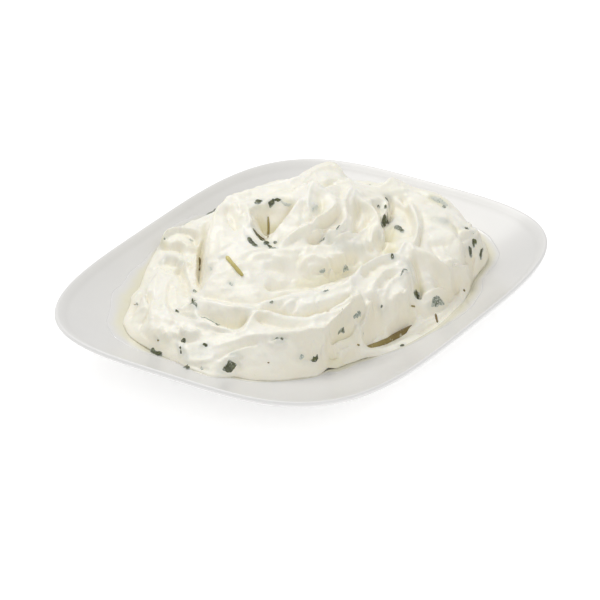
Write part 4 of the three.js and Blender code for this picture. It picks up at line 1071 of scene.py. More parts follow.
def grid_quads(rows, columns, closed=False):
    """Quads of a grid of points with this many rows and columns, row by row."""
    at = np.arange(rows * columns).reshape(rows, columns)
    right = np.roll(at, -1, axis=1) if closed else at[:, 1:]
    left = at if closed else at[:, :-1]
    return np.stack([left[:-1], right[:-1], right[1:], left[1:]], axis=-1).reshape(-1, 4)


def grid_border(rows, columns):
    """Point numbers round the border of such a grid."""
    at = np.arange(rows * columns).reshape(rows, columns)
    return np.r_[at[0, :-1], at[:-1, -1], at[-1, :0:-1], at[:0:-1, 0]]


def joined(parts):
    """Many small shells as one: each is (points, its face arrays, its numbers by name)."""
    counts = np.cumsum([0] + [len(points) for points, _, _ in parts])
    points = np.vstack([part[0] for part in parts])
    faces = [np.vstack([face + count for face, count in zip(kind, counts)])
             for kind in zip(*(part[1] for part in parts))]
    numbers = {key: np.concatenate([part[2][key] for part in parts]) for key in parts[0][2]}
    return points, faces, numbers


def fan(ring, middle, flip=False):
    """Triangles from a closed ring of point numbers to one middle point."""
    after = np.roll(ring, -1)
    order = [after, ring] if flip else [ring, after]
    return np.stack(order + [np.full(len(ring), middle)], axis=-1)


# ---- shaders -------------------------------------------------------------------------------


class Wire:
    """One output socket. Sums, products and powers of wires and numbers add Math nodes."""

    def __init__(self, look, socket):
        self.look = look
        self.socket = socket

    def _math(self, operation, *parts):
        values = {k: part for k, part in enumerate(parts)}
        return self.look.node("ShaderNodeMath", {"operation": operation}, values)

    def __add__(self, other):
        return self._math("ADD", self, other)

    def __sub__(self, other):
        return self._math("SUBTRACT", self, other)

    def __rsub__(self, other):
        return self._math("SUBTRACT", other, self)

    def __mul__(self, other):
        return self._math("MULTIPLY", self, other)

    def __pow__(self, other):
        return self._math("POWER", self, other)

    def clamped(self):
        return self._math("MAXIMUM", self._math("MINIMUM", self, 1.0), 0.0)

    __radd__ = __add__
    __rmul__ = __mul__


class Look:
    """A material in the making: its node tree and its one Principled shader."""

    def __init__(self, name, **constants):
        self.material = bpy.data.materials.new(name)
        self.material.use_nodes = True
        self.tree = self.material.node_tree
        self.shader = self.tree.nodes["Principled BSDF"]
        for key, value in constants.items():
            self.shader.inputs[key.replace("_", " ")].default_value = value

    def feed(self, socket, value):
        if isinstance(value, Wire):
            self.tree.links.new(value.socket, socket)
        elif hasattr(socket.default_value, "__len__") and hasattr(value, "__len__"):
            room = len(socket.default_value)
            socket.default_value = (tuple(value) + (1.0,) * room)[:room]
        else:
            socket.default_value = value

    def node(self, kind, settings=None, values=None, out=0):
        """Adds a node of this type, makes its settings first and then its sockets."""
        node = self.tree.nodes.new(kind)
        for key, value in (settings or {}).items():
            setattr(node, key, value)
        for key, value in (values or {}).items():
            self.feed(node.inputs[key], value)
        return Wire(self, node.outputs[out])

    def place(self):
        return self.node("ShaderNodeTexCoord", out="Object")

    def noise(self, scale, detail=2.0, rough=0.5, where=None):
        """Noise from 0 to 1, with its scale in 1/m."""
        values = {"Vector": where or self.place(), "Scale": scale, "Detail": detail,
                  "Roughness": rough}
        return self.node("ShaderNodeTexNoise", {}, values)

    def number(self, name):
        return self.node("ShaderNodeAttribute", {"attribute_name": name}, out="Fac")

    def blend(self, share, first, second):
        """A colour between two colours."""
        return self.node("ShaderNodeMix", {"data_type": "RGBA"}, {0: share, 6: first, 7: second},
                         out=2)

    def steps(self, share, low, high):
        """0 below low, 1 above high and a smooth rise between."""
        return self.node("ShaderNodeMapRange", {"interpolation_type": "SMOOTHSTEP"},
                         {0: share, 1: low, 2: high, 3: 0.0, 4: 1.0})

    def finish(self, colour, rough=None, bumps=()):
        """Feeds the shader. Bumps are (height in 0 to 1, depth in m) from large to small."""
        self.feed(self.shader.inputs["Base Color"], colour)
        if rough is not None:
            self.feed(self.shader.inputs["Roughness"], rough)
        normal = None
        for height, depth in bumps:
            values = {"Height": height, "Distance": depth, "Strength": 1.0}
            if normal is not None:
                values["Normal"] = normal
            normal = self.node("ShaderNodeBump", {}, values)
        if normal is not None:
            self.feed(self.shader.inputs["Normal"], normal)
        return self.material


# ---- plate ---------------------------------------------------------------------------------

PLATE_SECTORS = 320
# Where the lip's painted highlight is and how wide, as shares of the rim's outline, and how
# high it begins in mm.
LIP_SHARE, LIP_WIDTH, LIP_FROM = 0.985, 0.02, 20


def make_plate():
    """Rings of the rim's outline: each is the superellipse at a share of its size, at the
    well's height inside and along the lip, wall and foot outside."""
    floor = plate_sizes().floor / MM
    sectors = PLATE_SECTORS
    angle = np.linspace(0, 2 * math.pi, sectors, endpoint=False)
    reach = 1 / rim_gauge(np.cos(angle), np.sin(angle))
    well = np.r_[0.1:0.4:4j, 0.45:0.955:36j]
    section = [(s, well_height(np.array(s))) for s in well]
    section += [tuple(p) for p in smooth_path(RIM_SECTION, 3)]
    section += [(s, UNDERSIDE) for s in (0.4, 0.2, 0.08)]
    share, height = np.array(section, float).T
    x = np.outer(share, reach * np.cos(angle))
    y = np.outer(share, reach * np.sin(angle))
    z = np.repeat(height[:, None], sectors, axis=1)
    points = np.stack([x, y, z], axis=-1).reshape(-1, 3)
    points = np.vstack([points, [[0, 0, floor], [0, 0, UNDERSIDE]]])
    quads = grid_quads(len(section), sectors, closed=True)[:, ::-1]
    first = np.arange(sectors)
    last = first + (len(section) - 1) * sectors
    triangles = np.vstack([fan(first, len(points) - 2), fan(last, len(points) - 1, flip=True)])
    # The rim number masks the painted highlight along the lip.
    rim = np.exp(-(((share - LIP_SHARE) / LIP_WIDTH) ** 2)) * (height > LIP_FROM)
    numbers = {"rim": np.r_[np.repeat(rim, sectors), 0, 0]}
    piece = new_piece("plate_glazed", points, quads, triangles, numbers)
    piece.data.materials.append(glaze_look())
    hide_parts("plate")


def glaze_look():
    """White glaze: barely uneven in colour and gloss, with a painted highlight that whitens the
    lip.
    """
    look = Look("white_glaze", Coat_Weight=0.12, Coat_Roughness=0.12, IOR=1.45)
    glaze = tuple(plate_sizes().glaze)
    cloudy = look.steps(look.noise(26.0, 3.0), 0.3, 0.7)
    deeper = tuple(c * 0.975 for c in glaze)
    painted_lip_highlight = tuple(min(1.0, c * 1.07) for c in glaze)
    body = look.blend(cloudy, glaze, deeper)
    # Painted highlight: the glaze is made whiter along the lip, where light glints on it.
    body = look.blend(look.number("rim") * 0.8, body, painted_lip_highlight)
    rough = 0.26 + look.noise(60.0, 2.0) * 0.10
    waves = [(look.noise(45.0, 1.0), 0.00010), (look.noise(900.0, 2.0), 0.000004)]
    return look.finish(body, rough, waves)


# ---- dip -----------------------------------------------------------------------------------

# The dip's edge on the plate: its height and width in mm, how far in it fades out, and the
# power of its rounding. Along the skirt, which lies this way from the heap's middle, the
# edge is lower and its power is greater by this much. REST is the gap to the glaze.
TOE_HEIGHT, TOE_WIDTH, TOE_FADE, TOE_POWER = 0.9, 1.6, 6, 0.8
SKIRT_TOE, SKIRT_POWER = 0.3, 0.5
SKIRT_HEADING, SKIRT_SPREAD = math.radians(-28), math.radians(38)
REST = 0.03
# The mesh is this much finer across the view than along it, and gathers at the served side.
ACROSS_SHARE, ALONG_SHARE, FRONT_SHARE = 1.06, 0.94, 0.2
UNDER_RINGS = [0.9, 0.5]
# A crest leans by how far it stands over this near and this wide a surrounding, in mm.
NEAR_REACH, WIDE_REACH, MOST_STAND, LEAST_STEEP = 2.6, 5.0, 1.6, 0.25


def heap_point(u, v):
    """Height of the dip's top, with a rounded toe where it meets the plate: nearly a quarter
    of an ellipse, so the edge stands up from the glaze, but low and sharp along the skirt."""
    room = np.clip(edge_room(u, v), 0, None)
    heading = np.arctan2(v - HEAP_MIDDLE[1], u - HEAP_MIDDLE[0])
    skirt = np.exp(-((heading - SKIRT_HEADING) / SKIRT_SPREAD) ** 2)
    height = TOE_HEIGHT + (SKIRT_TOE - TOE_HEIGHT) * skirt
    power = TOE_POWER + SKIRT_POWER * skirt
    toe = height * (1 - (1 - np.clip(room / TOE_WIDTH, 0, 1)) ** 2) ** power
    ground = well_under(u, v) + REST
    return np.maximum(heap_height(u, v) + REST + toe * np.exp(-room / TOE_FADE), ground + toe)


def crest_lean(u, v, step):
    """Sideways shift that hangs a crest over its lower side: down the slope of the softened
    heap, in proportion to how far the surface stands over its surroundings."""
    field = heap_surface()
    along_v, along_u = np.gradient(softened(field, WIDE_REACH, step), step)
    stand = softened(field, 0.7, step) - softened(field, NEAR_REACH, step)
    gain = -dip_sizes().lean * np.clip(stand, 0, MOST_STAND)
    gain = gain / (np.hypot(along_u, along_v) + LEAST_STEEP)
    return read_grid(gain * along_u, step, u, v), read_grid(gain * along_v, step, u, v)


def make_dip():
    """The heap: a square grid bent into the footprint, at the film's height, with its crests
    leaning downhill, closed underneath by rings that lie on the well. The grid's rows lie
    closer together towards the served side: b = t + (t squared - 1) times FRONT_SHARE."""
    columns = round(dip_sizes().cells * ACROSS_SHARE)
    rows = round(dip_sizes().cells * ALONG_SHARE)
    step = dip_sizes().step / MM
    t = np.linspace(-1, 1, rows + 1)
    a, b = np.meshgrid(np.linspace(-1, 1, columns + 1), t + (t * t - 1) * FRONT_SHARE)
    du, dv = a * np.sqrt(1 - b * b / 2), b * np.sqrt(1 - a * a / 2)
    reach = footprint_reach(du, dv)
    u, v = HEAP_MIDDLE[0] + du * reach, HEAP_MIDDLE[1] + dv * reach
    z = heap_point(u, v)
    lean_u, lean_v = crest_lean(u, v, step)
    calm = np.clip(edge_room(u, v) / FINE_ROOM, 0, 1)
    top = np.stack([u + lean_u * calm, v + lean_v * calm, z], axis=-1).reshape(-1, 3)
    edge = grid_border(rows + 1, columns + 1)
    under = []
    for share in UNDER_RINGS:
        ru, rv = (c + (top[edge, k] - c) * share for k, c in enumerate(HEAP_MIDDLE))
        under.append(np.stack([ru, rv, well_under(ru, rv) + REST], axis=1))
    middle = np.array([[*HEAP_MIDDLE, plate_sizes().floor / MM + REST]])
    points = np.vstack([top] + under + [middle])
    rings = [edge]
    rings += [len(top) + k * len(edge) + np.arange(len(edge)) for k in range(len(under))]
    quads = [grid_quads(rows + 1, columns + 1)]
    for outer, inner in zip(rings[:-1], rings[1:]):
        quads.append(np.stack([outer, inner, np.roll(inner, -1), np.roll(outer, -1)], axis=1))
    triangles = fan(rings[-1], len(points) - 1, flip=True)
    numbers = {key: read_grid(field, step, *points.T[:2]) for key, field in dip_tints().items()}
    piece = new_piece("dip_swirled", to_plate(points), np.vstack(quads), triangles, numbers,
                      smooth=rows * columns)
    piece.data.materials.append(yogurt_look())
    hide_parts("dip")


# Leaves that lie just under the surface show as grey: (amount, radius in mm, places seen).
VEILED = [
    (0.3, 2.6, [(161, 262), (172, 258), (180, 264)]),
    (0.3, 1.6, [(190, 240), (193, 246)]),
    (0.35, 2.0, [(210, 268), (211, 273)]),
    (0.22, 2.0, [(228, 285), (234, 294), (242, 300), (250, 308)]),
    (0.5, 1.6, [(180, 313), (190, 316), (196, 319)]),
    (0.3, 2.4, [(184, 334), (194, 333)]),
    (0.7, 2.2, [(181, 349), (183, 355), (186, 361)]),
    (0.35, 3.0, [(194, 355), (208, 353)]),
    (0.6, 2.4, [(234, 355), (239, 360)]),
    (0.75, 1.8, [(276, 342), (283, 342)]),
    (0.5, 2.8, [(314, 206), (318, 212)]),
    (0.65, 2.2, [(325, 236), (328, 240)]),
    (0.45, 3.4, [(338, 246), (350, 246), (360, 250)]),
    (0.55, 2.6, [(360, 208), (358, 218)]),
    (0.5, 2.0, [(380, 236), (384, 246)]),
    (0.35, 3.0, [(374, 205), (383, 208)]),
    (0.6, 3.2, [(437, 219), (446, 221)]),
    (0.75, 2.0, [(464, 256), (468, 251), (471, 246)]),
    (0.6, 2.4, [(409, 266), (413, 280)]),
    (0.45, 1.8, [(400, 277), (407, 271)]),
    (0.3, 2.2, [(398, 304), (404, 298)]),
    (0.85, 2.2, [(339, 331), (345, 325), (351, 321)]),
    (0.5, 2.0, [(348, 333), (354, 325)]),
    (0.6, 1.6, [(364, 332), (371, 314)]),
    (0.6, 2.4, [(300, 358), (304, 361)]),
    (0.5, 2.0, [(311, 362), (318, 359)]),
    (0.3, 2.4, [(290, 205), (286, 201)]),
    (0.55, 2.0, [(190, 368), (204, 368)]),
    (0.5, 2.0, [(379, 309), (384, 314)]),
    (0.5, 1.6, [(408, 308), (411, 311)]),
    (0.45, 2.4, [(430, 306), (446, 303)]),
    (0.4, 2.0, [(221, 258), (226, 255)]),
]

# Yellow painted shade in the hollows, creases, cave and pit, partly oily juice gathered there:
# (amount, radius in mm, places seen).
OIL_AND_SHADE = [
    (0.95, 3.0, [(262, 228), (268, 234), (274, 230)]),
    (0.5, 1.6, [(204, 226), (202.5, 244), (200, 262), (199.5, 280)]),
    (0.45, 2.2, [(234, 327), (244, 325)]),
    (0.55, 2.0, [(286, 201), (292, 206)]),
    (0.5, 3.0, [(302, 284), (322, 280), (344, 273)]),
    (0.7, 3.4, [(388, 242), (392, 232), (390, 250)]),
    (0.6, 2.0, [(452, 226), (458, 232)]),
    (0.55, 2.4, [(432, 199), (445, 204)]),
    (0.6, 2.2, [(160, 243), (165, 246)]),
    (0.7, 2.2, [(332, 364), (340, 363)]),
    (0.55, 2.4, [(416, 292), (420, 290)]),
    (0.4, 3.4, [(350, 336), (340, 338)]),
    (0.35, 2.4, [(322, 206), (322, 212)]),
]

# Every leaf on the served side has a veil round it: how grey, how much of the leaf's width
# and how far past it in mm.
HALO, HALO_WIDTH, HALO_PAST = 0.6, 0.5, 0.7
SPECKLE = 0.35
# How deep a place lies under its surroundings out to a reach in mm, and the share of each.
# Depth and steepness, full at STEEP_FULL, set the painted shade of creases and steep faces.
DEPTHS = [(2.2, 0.8), (6.0, 0.08)]
STEEP_FULL = 1.2


@lru_cache(maxsize=None)
def dip_tints():
    """Four fields over the heap from 0 to 1: how much a leaf shows through, how much
    yellow painted shade, partly oily juice, its hollows and creases take, how deep the
    place lies under its surroundings and how steep it is, both of which set painted shade."""
    step = dip_sizes().step / MM
    field = heap_surface()
    u, v = height_grid(step)
    places = np.stack([u, v, field], axis=-1)

    def brushed(strokes, draw):
        out = np.zeros_like(u)
        for amount, radius, seen in strokes:
            across, down = smooth_path(seen, 8).T
            path = dense_path(on_surface(across, down), 0.5)
            for cu, cv, cz in path[::2]:
                part = window(cu, cv, FALL_REACH * radius, step)
                far = ((u[part] - cu) ** 2 + (v[part] - cv) ** 2
                       + (field[part] - cz) ** 2) / radius**2
                out[part] = np.maximum(out[part], amount * np.exp(-(far**1.5)))
        return out * (0.85 + 0.3 * lattice_noise(places, 2.2, draw))

    # Painted shade: deep and steep places take the darker, warmer tint in the yogurt's look.
    depth = sum((softened(field, reach, step) - field) * share for reach, share in DEPTHS)
    speckle = np.clip(lattice_noise(places, 3.1, 31) * 1.6 - 0.85, 0, 1) * SPECKLE
    halos = [(HALO * (1 - 0.3 * shade), width * HALO_WIDTH + HALO_PAST, [(x0, y0), (x1, y1)])
             for x0, y0, x1, y1, width, _, shade in LEAVES]
    veil = np.maximum(brushed(VEILED, 32), brushed(halos, 34))
    return {
        "veiled_leaf": np.clip(veil + speckle, 0, 1),
        "oil": np.clip(brushed(OIL_AND_SHADE, 33), 0, 1),
        "depth": np.clip(depth, 0, 1),
        "steep": np.clip((steepness(field, step) - 1) / STEEP_FULL, 0, 1),
    }


def yogurt_look():
    """Thick yogurt: cream with painted shade, darker and warmer where it is steep or sunken
    and yellow in its hollows and creases, partly oily juice, and grey over a buried leaf."""
    sizes = dip_sizes()
    look = Look("purslane_yogurt", Subsurface_Weight=0.15, Subsurface_Scale=0.0006,
                Subsurface_Radius=(1.0, 0.75, 0.4), Coat_Weight=0.12, Coat_Roughness=0.16,
                IOR=1.38)
    cream = tuple(sizes.cream)
    warm = (cream[0], cream[1] * 0.985, cream[2] * 0.92)
    cloudy = look.steps(look.noise(90.0, 3.0, 0.6), 0.35, 0.7)
    body = look.blend(cloudy * 0.6, cream, warm)
    fine = look.noise(700.0, 3.0, 0.6)
    veil = (look.number("veiled_leaf") * (0.55 + fine * 0.9)).clamped()
    body = look.blend(veil * 0.95, body, tuple(sizes.herb_tint))
    # Painted shade: steep faces and sunken places turn darker and warmer.
    sunken = (look.number("depth") * 0.5 + look.number("steep") * 0.45).clamped()
    body = look.blend(sunken, body, tuple(sizes.painted_shade_tint))
    # Painted shade: hollows, creases, cave and pit turn yellow, partly oily juice that is
    # glossier.
    body = look.blend(look.number("oil") * 0.8, body, tuple(sizes.oil_and_shade_tint))
    rough = 0.30 + look.noise(140.0, 2.0) * 0.18 - look.number("oil") * 0.10
    grains = [(look.noise(420.0, 2.0, 0.5), 0.00022), (look.noise(1500.0, 3.0, 0.6), 0.00006)]
    return look.finish(body, rough, grains)


# ---- purslane ------------------------------------------------------------------------------

# Leaves on the served side: ends as seen (across, down, across, down), width in mm, lift of
# one edge in mm, and how far yogurt covers the leaf (0 bare and dark, 1 pale).
LEAVES = [
    # The dark leaves at (184, 366.5) and (150, 348.5) are partly leaf and partly painted shadow of
    # the undercut at the toe.
    (222, 372, 238, 367, 5.0, 0.5, 0.05), (184, 366.5, 191, 369, 3.0, 0.1, 0.0),
    (194, 368.5, 208, 371.5, 2.8, 0.0, 0.5), (150, 348.5, 164, 355, 2.4, 0.2, 0.1),
    (202, 345, 208, 347, 1.5, 0.1, 0.0), (178, 345, 180.5, 361, 1.8, 0.1, 0.05),
    (180, 341, 186, 344, 1.8, 0.0, 0.1), (200, 316, 223, 325, 0.9, 0.0, 0.4),
    (189, 305, 197, 309, 1.4, 0.1, 0.3), (175, 311, 179, 313, 1.2, 0.0, 0.1),
    (192, 298, 196, 301, 1.2, 0.0, 0.1), (192.5, 291, 196, 292.5, 1.2, 0.0, 0.3),
    (159.5, 246.5, 163.5, 242.5, 1.6, 0.2, 0.25), (162, 242, 167, 240, 1.3, 0.0, 0.35),
    (257, 206, 261, 200, 2.8, 0.3, 0.0),
    (268, 206, 275, 200, 2.4, 0.3, 0.0), (273, 201, 282, 200, 1.3, 0.1, 0.05),
    (280, 200, 292, 204, 1.0, 0.0, 0.9), (251, 226, 265, 241, 1.3, 0.3, 0.0),
    (248, 237, 258, 247, 2.0, 0.3, 0.1), (264, 245, 269, 242, 1.9, 0.3, 0.05),
    (267, 245, 272, 248, 1.5, 0.1, 0.0), (273, 242, 277, 243, 1.3, 0.1, 0.2),
    (268, 248, 277, 248.5, 0.9, 0.0, 0.4), (312, 212, 319, 207, 1.3, 0.1, 0.85),
    (319, 243, 325, 239, 1.2, 0.0, 0.45), (336, 230, 341, 227, 1.1, 0.0, 0.3),
    (387, 198, 389, 208, 3.0, 0.4, 0.0), (384, 208, 387.5, 211, 1.8, 0.2, 0.05),
    (380, 222, 389, 219, 2.4, 0.3, 0.0),
    (377, 207, 380, 207, 1.2, 0.0, 0.2), (394, 226, 403, 233, 2.2, 0.3, 0.2),
    (391, 254, 394, 259, 1.7, 0.2, 0.15), (429, 197, 448, 207, 1.5, 0.2, 0.9),
    (442, 206, 446, 208, 0.9, 0.0, 0.2), (464.5, 228.5, 468.5, 229, 1.6, 0.1, 0.1),
    (471, 233, 475, 233.5, 1.6, 0.1, 0.2), (477, 239, 472, 248, 3.4, 0.5, 0.0),
    (471, 246, 467, 252, 2.8, 0.3, 0.1), (482.5, 247, 479.5, 260, 2.0, 0.5, 0.05),
    # Painted shade: the black leaf at (415, 298) to (420, 291) fills the shadow of the pit.
    (463, 257.5, 466.5, 255, 1.5, 0.1, 0.35), (415, 298, 420, 291, 2.2, 0.0, 0.0),
    (431, 308, 446, 305, 3.2, 0.2, 0.4), (400, 279, 409, 270, 1.1, 0.0, 0.4),
    (399, 347, 405, 345, 1.4, 0.0, 0.15), (351, 313, 361, 307, 3.2, 0.2, 0.4),
    (340, 324, 345, 321, 2.0, 0.1, 0.2), (337, 334, 346, 327, 3.2, 0.1, 0.45),
    (337, 337, 346, 334, 1.3, 0.0, 0.25), (362, 335, 372, 313, 0.9, 0.0, 0.4),
    (310, 362, 319, 356, 2.4, 0.2, 0.02), (299, 362, 305, 358, 1.6, 0.1, 0.5),
    (273, 339, 285, 338, 1.1, 0.0, 0.4), (280, 341, 284, 342, 1.5, 0.1, 0.1),
    (343, 273, 349, 270, 1.2, 0.0, 0.45), (323, 292, 329, 290, 0.9, 0.0, 0.45),
    (319, 272, 326, 269, 1.1, 0.0, 0.5), (380, 308, 385, 312, 1.5, 0.1, 0.3),
    (189, 239, 193, 242, 1.3, 0.0, 0.85), (236, 311, 240, 313, 1.0, 0.0, 0.4),
    (269, 303, 274, 302, 1.0, 0.0, 0.4), (135, 305, 138, 307, 1.1, 0.0, 0.4),
    (156, 341, 160, 342, 1.1, 0.0, 0.45), (229, 283, 233, 286, 1.0, 0.0, 0.6),
    (209, 268, 212, 271, 1.0, 0.0, 0.9),
]

# Leaves on the side away from the viewer: (u, v, u, v) and the same three numbers.
BACK_LEAVES = [
    (-46, 50, -39, 56, 4.5, 0.6, 0.1), (26, 63, 34, 66, 4.5, 0.6, 0.1),
    (6, 74, 15, 75, 4.0, 0.5, 0.3), (52, 66, 60, 62, 3.5, 0.4, 0.5),
    (-58, 44, -53, 51, 3.2, 0.4, 0.7), (-12, 71, -6, 76, 3.0, 0.4, 0.0),
    (36, 76, 43, 73, 2.6, 0.3, 0.2), (70, 54, 74, 48, 3.0, 0.5, 0.1),
]

# Cut stems and strings as seen: (places, radius in mm, how brown from 0 to 1).
STEMS = [
    ([(226, 257), (231, 263), (237, 270), (243, 277)], 0.95, 0.15),
    ([(268, 217), (268.5, 228), (268, 238)], 0.55, 0.8),
    ([(435.5, 314), (436.5, 319), (437.5, 323)], 0.45, 1.0),
    ([(252, 228), (258, 235), (265, 241)], 0.30, 0.9),
    ([(199.5, 258), (199.5, 264), (199, 271)], 0.55, 1.0),
    ([(463, 290), (465, 292)], 0.50, 1.0),
    ([(411, 306), (415, 307)], 0.40, 0.8),
    ([(357, 345), (360, 346)], 0.45, 0.8),
    ([(267, 363), (270, 363.5)], 0.35, 0.9),
    ([(253, 376), (256, 376)], 0.35, 0.9),
    ([(133, 305), (136, 305.5)], 0.35, 0.7),
    ([(157, 341), (160, 341)], 0.35, 0.7),
]

# In mm, a leaf's border is sunk this deep and its middle stands this proud. Its outline takes
# this share of the width given, and no less than LEAST_SHOWN of that on a steep face.
LEAF_SUNK, LEAF_PROUD = 0.22, 0.30
LEAF_FULLNESS, LEAST_SHOWN = 0.66, 0.5
LEAF_ROWS, LEAF_COLUMNS = 11, 19
# How far to either side of a leaf the slope is felt, in mm.
SLOPE_FELT = 0.8


def leaf_sheet(first, second, width, lift, shade, thickness, rng):
    """One leaf as two faces over a grid (s along, t across). Its outline is a lens, blunt or
    pointed, with a ragged edge. Its border is sunk in the dip, its middle stands proud, and
    one edge may be lifted."""
    s, t = np.meshgrid(np.linspace(-1, 1, LEAF_COLUMNS), np.linspace(-1, 1, LEAF_ROWS))
    run = second - first
    length = max(np.hypot(*run), 0.8)
    along = run / length
    side = np.array([-along[1], along[0]])
    middle = (first + second) / 2
    ahead, behind = (heap_height(*(middle + side * d)) for d in (SLOPE_FELT, -SLOPE_FELT))
    foreshort = max(1 / math.hypot(1, (ahead - behind) / (2 * SLOPE_FELT)), LEAST_SHOWN)
    wave = rng.uniform(0, 2 * math.pi, 4)
    blunt = rng.uniform(1.8, 4.0)
    ragged = 1 + 0.16 * np.sin(5 * s + wave[0]) + 0.12 * np.sin(11 * s * t + wave[3])
    half = width * LEAF_FULLNESS * foreshort * (1 - np.abs(s) ** blunt * 0.94) * ragged
    bend = 0.10 * length * (1 - s * s) * math.sin(wave[1])
    u = middle[0] + along[0] * s * length / 2 + side[0] * (half * t + bend)
    v = middle[1] + along[1] * s * length / 2 + side[1] * (half * t + bend)
    ground = heap_height(u, v)
    border = np.maximum(np.abs(s), np.abs(t))
    places = np.stack([u, v, ground], axis=-1)
    rise = LEAF_PROUD - (LEAF_PROUD + LEAF_SUNK) * border**3 + lift * (t + 1) ** 2 / 4
    rise = (rise + 0.14 * lattice_noise(places, 0.9, 41)) / foreshort**0.7
    round_off = np.sqrt(np.clip(1 - t**2, 0, 1)) * np.sqrt(np.clip(1 - s**4, 0, 1))
    upper = np.stack([u, v, ground + rise + thickness / 2 * round_off], axis=-1)
    lower = np.stack([u, v, ground + rise - thickness * (0.3 + round_off / 2)], axis=-1)
    points = np.vstack([upper.reshape(-1, 3), lower.reshape(-1, 3)])
    count = LEAF_ROWS * LEAF_COLUMNS
    faces = grid_quads(LEAF_ROWS, LEAF_COLUMNS)
    edge = grid_border(LEAF_ROWS, LEAF_COLUMNS)
    after = np.roll(edge, -1)
    wall = np.stack([edge, edge + count, after + count, after], axis=1)
    quads = np.vstack([faces, faces[:, ::-1] + count, wall])
    numbers = {"leaf_edge": np.tile(border.ravel(), 2), "smeared": np.full(2 * count, shade)}
    return points, [quads], numbers


def make_leaves():
    """All the chopped leaves, each laid on the dip between the two ends given for it."""
    rng = np.random.default_rng(purslane_look().seed)
    thickness = purslane_look().leaf_thickness / MM
    seen = np.array([leaf[:4] for leaf in LEAVES])
    starts = on_surface(seen[:, 0], seen[:, 1])[:, :2]
    ends = on_surface(seen[:, 2], seen[:, 3])[:, :2]
    laid = [(a, b, *leaf[4:]) for a, b, leaf in zip(starts, ends, LEAVES)]
    laid += [(laid_at(b[:2]), laid_at(b[2:4]), *b[4:]) for b in BACK_LEAVES]
    points, faces, numbers = joined([leaf_sheet(*leaf, thickness, rng) for leaf in laid])
    piece = new_piece("purslane_leaves", to_plate(points), *faces, numbers=numbers)
    piece.data.materials.append(leaf_look())


def leaf_look():
    """Wet purslane leaf: mottled dark green, grey at its edge and under a smear of yogurt."""
    colours = purslane_look()
    look = Look("purslane_leaf", Coat_Weight=0.3, Coat_Roughness=0.1, IOR=1.45)
    dark, pale = tuple(colours.leaf_dark), tuple(colours.leaf_pale)
    green = (dark[0] * 2.8, dark[1] * 2.8, dark[2] * 2.0)
    mottled = look.steps(look.noise(700.0, 3.0, 0.6), 0.4, 0.75)
    body = look.blend(mottled, dark, green)
    cover = look.number("smeared") + look.noise(450.0, 3.0, 0.6) * 0.9 - 0.5
    body = look.blend(look.steps(cover, 0.0, 0.7), body, pale)
    fade = look.number("leaf_edge") ** 3.0 + look.noise(900.0, 2.0, 0.5) * 0.9 - 0.45
    body = look.blend(look.steps(fade, 0.15, 0.85), body, tuple(dip_sizes().herb_tint))
    milky = (0.74, 0.75, 0.68)
    flecks = look.number("smeared") * 0.4 + look.noise(1300.0, 2.0, 0.5)
    body = look.blend(look.steps(flecks, 0.62, 0.84) * 0.8, body, milky)
    rough = 0.22 + look.noise(300.0, 2.0) * 0.2
    veins = [(look.noise(800.0, 3.0, 0.6), 0.00015)]
    return look.finish(body, rough, veins)


# Of a cut stem's radius, this share stands over the dip at its middle line.
STEM_PROUD = 0.45
STEM_SIDES, LONG_STEM_SIDES = 12, 28


def tube(path, radius, brown, sides, rng, roughness=0.12):
    """Rings across a path, with round ends and a slightly uneven radius."""
    count = len(path)
    along = np.gradient(path, axis=0)
    along /= np.linalg.norm(along, axis=1)[:, None]
    side = np.cross([0.0, 0.0, 1.0], along)
    side /= np.linalg.norm(side, axis=1)[:, None]
    above = np.cross(along, side)
    share = np.linspace(-1, 1, count)
    thick = radius * np.sqrt(np.clip(1 - np.abs(share) ** 7, 0.02, 1))
    uneven = np.interp(share, np.linspace(-1, 1, 9), rng.uniform(-1, 1, 9))
    thick = thick * (1 + roughness * uneven)
    angle = np.linspace(0, 2 * math.pi, sides, endpoint=False)
    ring = (np.cos(angle)[None, :, None] * side[:, None] + np.sin(angle)[None, :, None]
            * above[:, None]) * thick[:, None, None]
    points = np.vstack([(path[:, None] + ring).reshape(-1, 3), path[:1], path[-1:]])
    quads = grid_quads(count, sides, closed=True)
    first, last = np.arange(sides), np.arange(sides) + (count - 1) * sides
    triangles = np.vstack([fan(first, len(points) - 2, flip=True), fan(last, len(points) - 1)])
    run = np.r_[np.repeat((share + 1) / 2, sides), 0, 1]
    return points, [quads, triangles], {"along": run, "brown": np.full(len(points), brown)}


def make_stems():
    """Cut stems and strings that lie half sunk in the dip, as one piece."""
    rng = np.random.default_rng(purslane_look().seed + 1)
    tubes = []
    for seen, radius, brown in STEMS:
        across, down = smooth_path(seen, 6).T
        path = dense_path(on_surface(across, down), 0.35)
        path[:, 2] = heap_height(path[:, 0], path[:, 1]) + radius * STEM_PROUD
        tubes.append(tube(path, radius, brown, STEM_SIDES, rng))
    points, faces, numbers = joined(tubes)
    piece = new_piece("purslane_cut_stems", to_plate(points), *faces, numbers)
    piece.data.materials.append(stem_look())


# The long stem's middle line as (u, v, z), its radius in mm and how brown it is.
LONG_STEM = [(23.5, -46.5, 9.2), (29.5, -42.2, 9.35), (35, -37.5, 9.4), (41.5, -31.3, 9.9),
             (48, -25, 10.4)]
LONG_STEM_RADIUS, LONG_STEM_BROWN = 1.45, 0.85


def make_long_stem():
    """The thick stem at the foot of the smooth skirt."""
    rng = np.random.default_rng(purslane_look().seed + 2)
    path = dense_path(laid_at(LONG_STEM), 0.4)
    points, faces, numbers = tube(
        path, LONG_STEM_RADIUS, LONG_STEM_BROWN, LONG_STEM_SIDES, rng, 0.05)
    piece = new_piece("purslane_stem_long", to_plate(points), *faces, numbers)
    piece.data.materials.append(stem_look())
    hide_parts("purslane_stem")


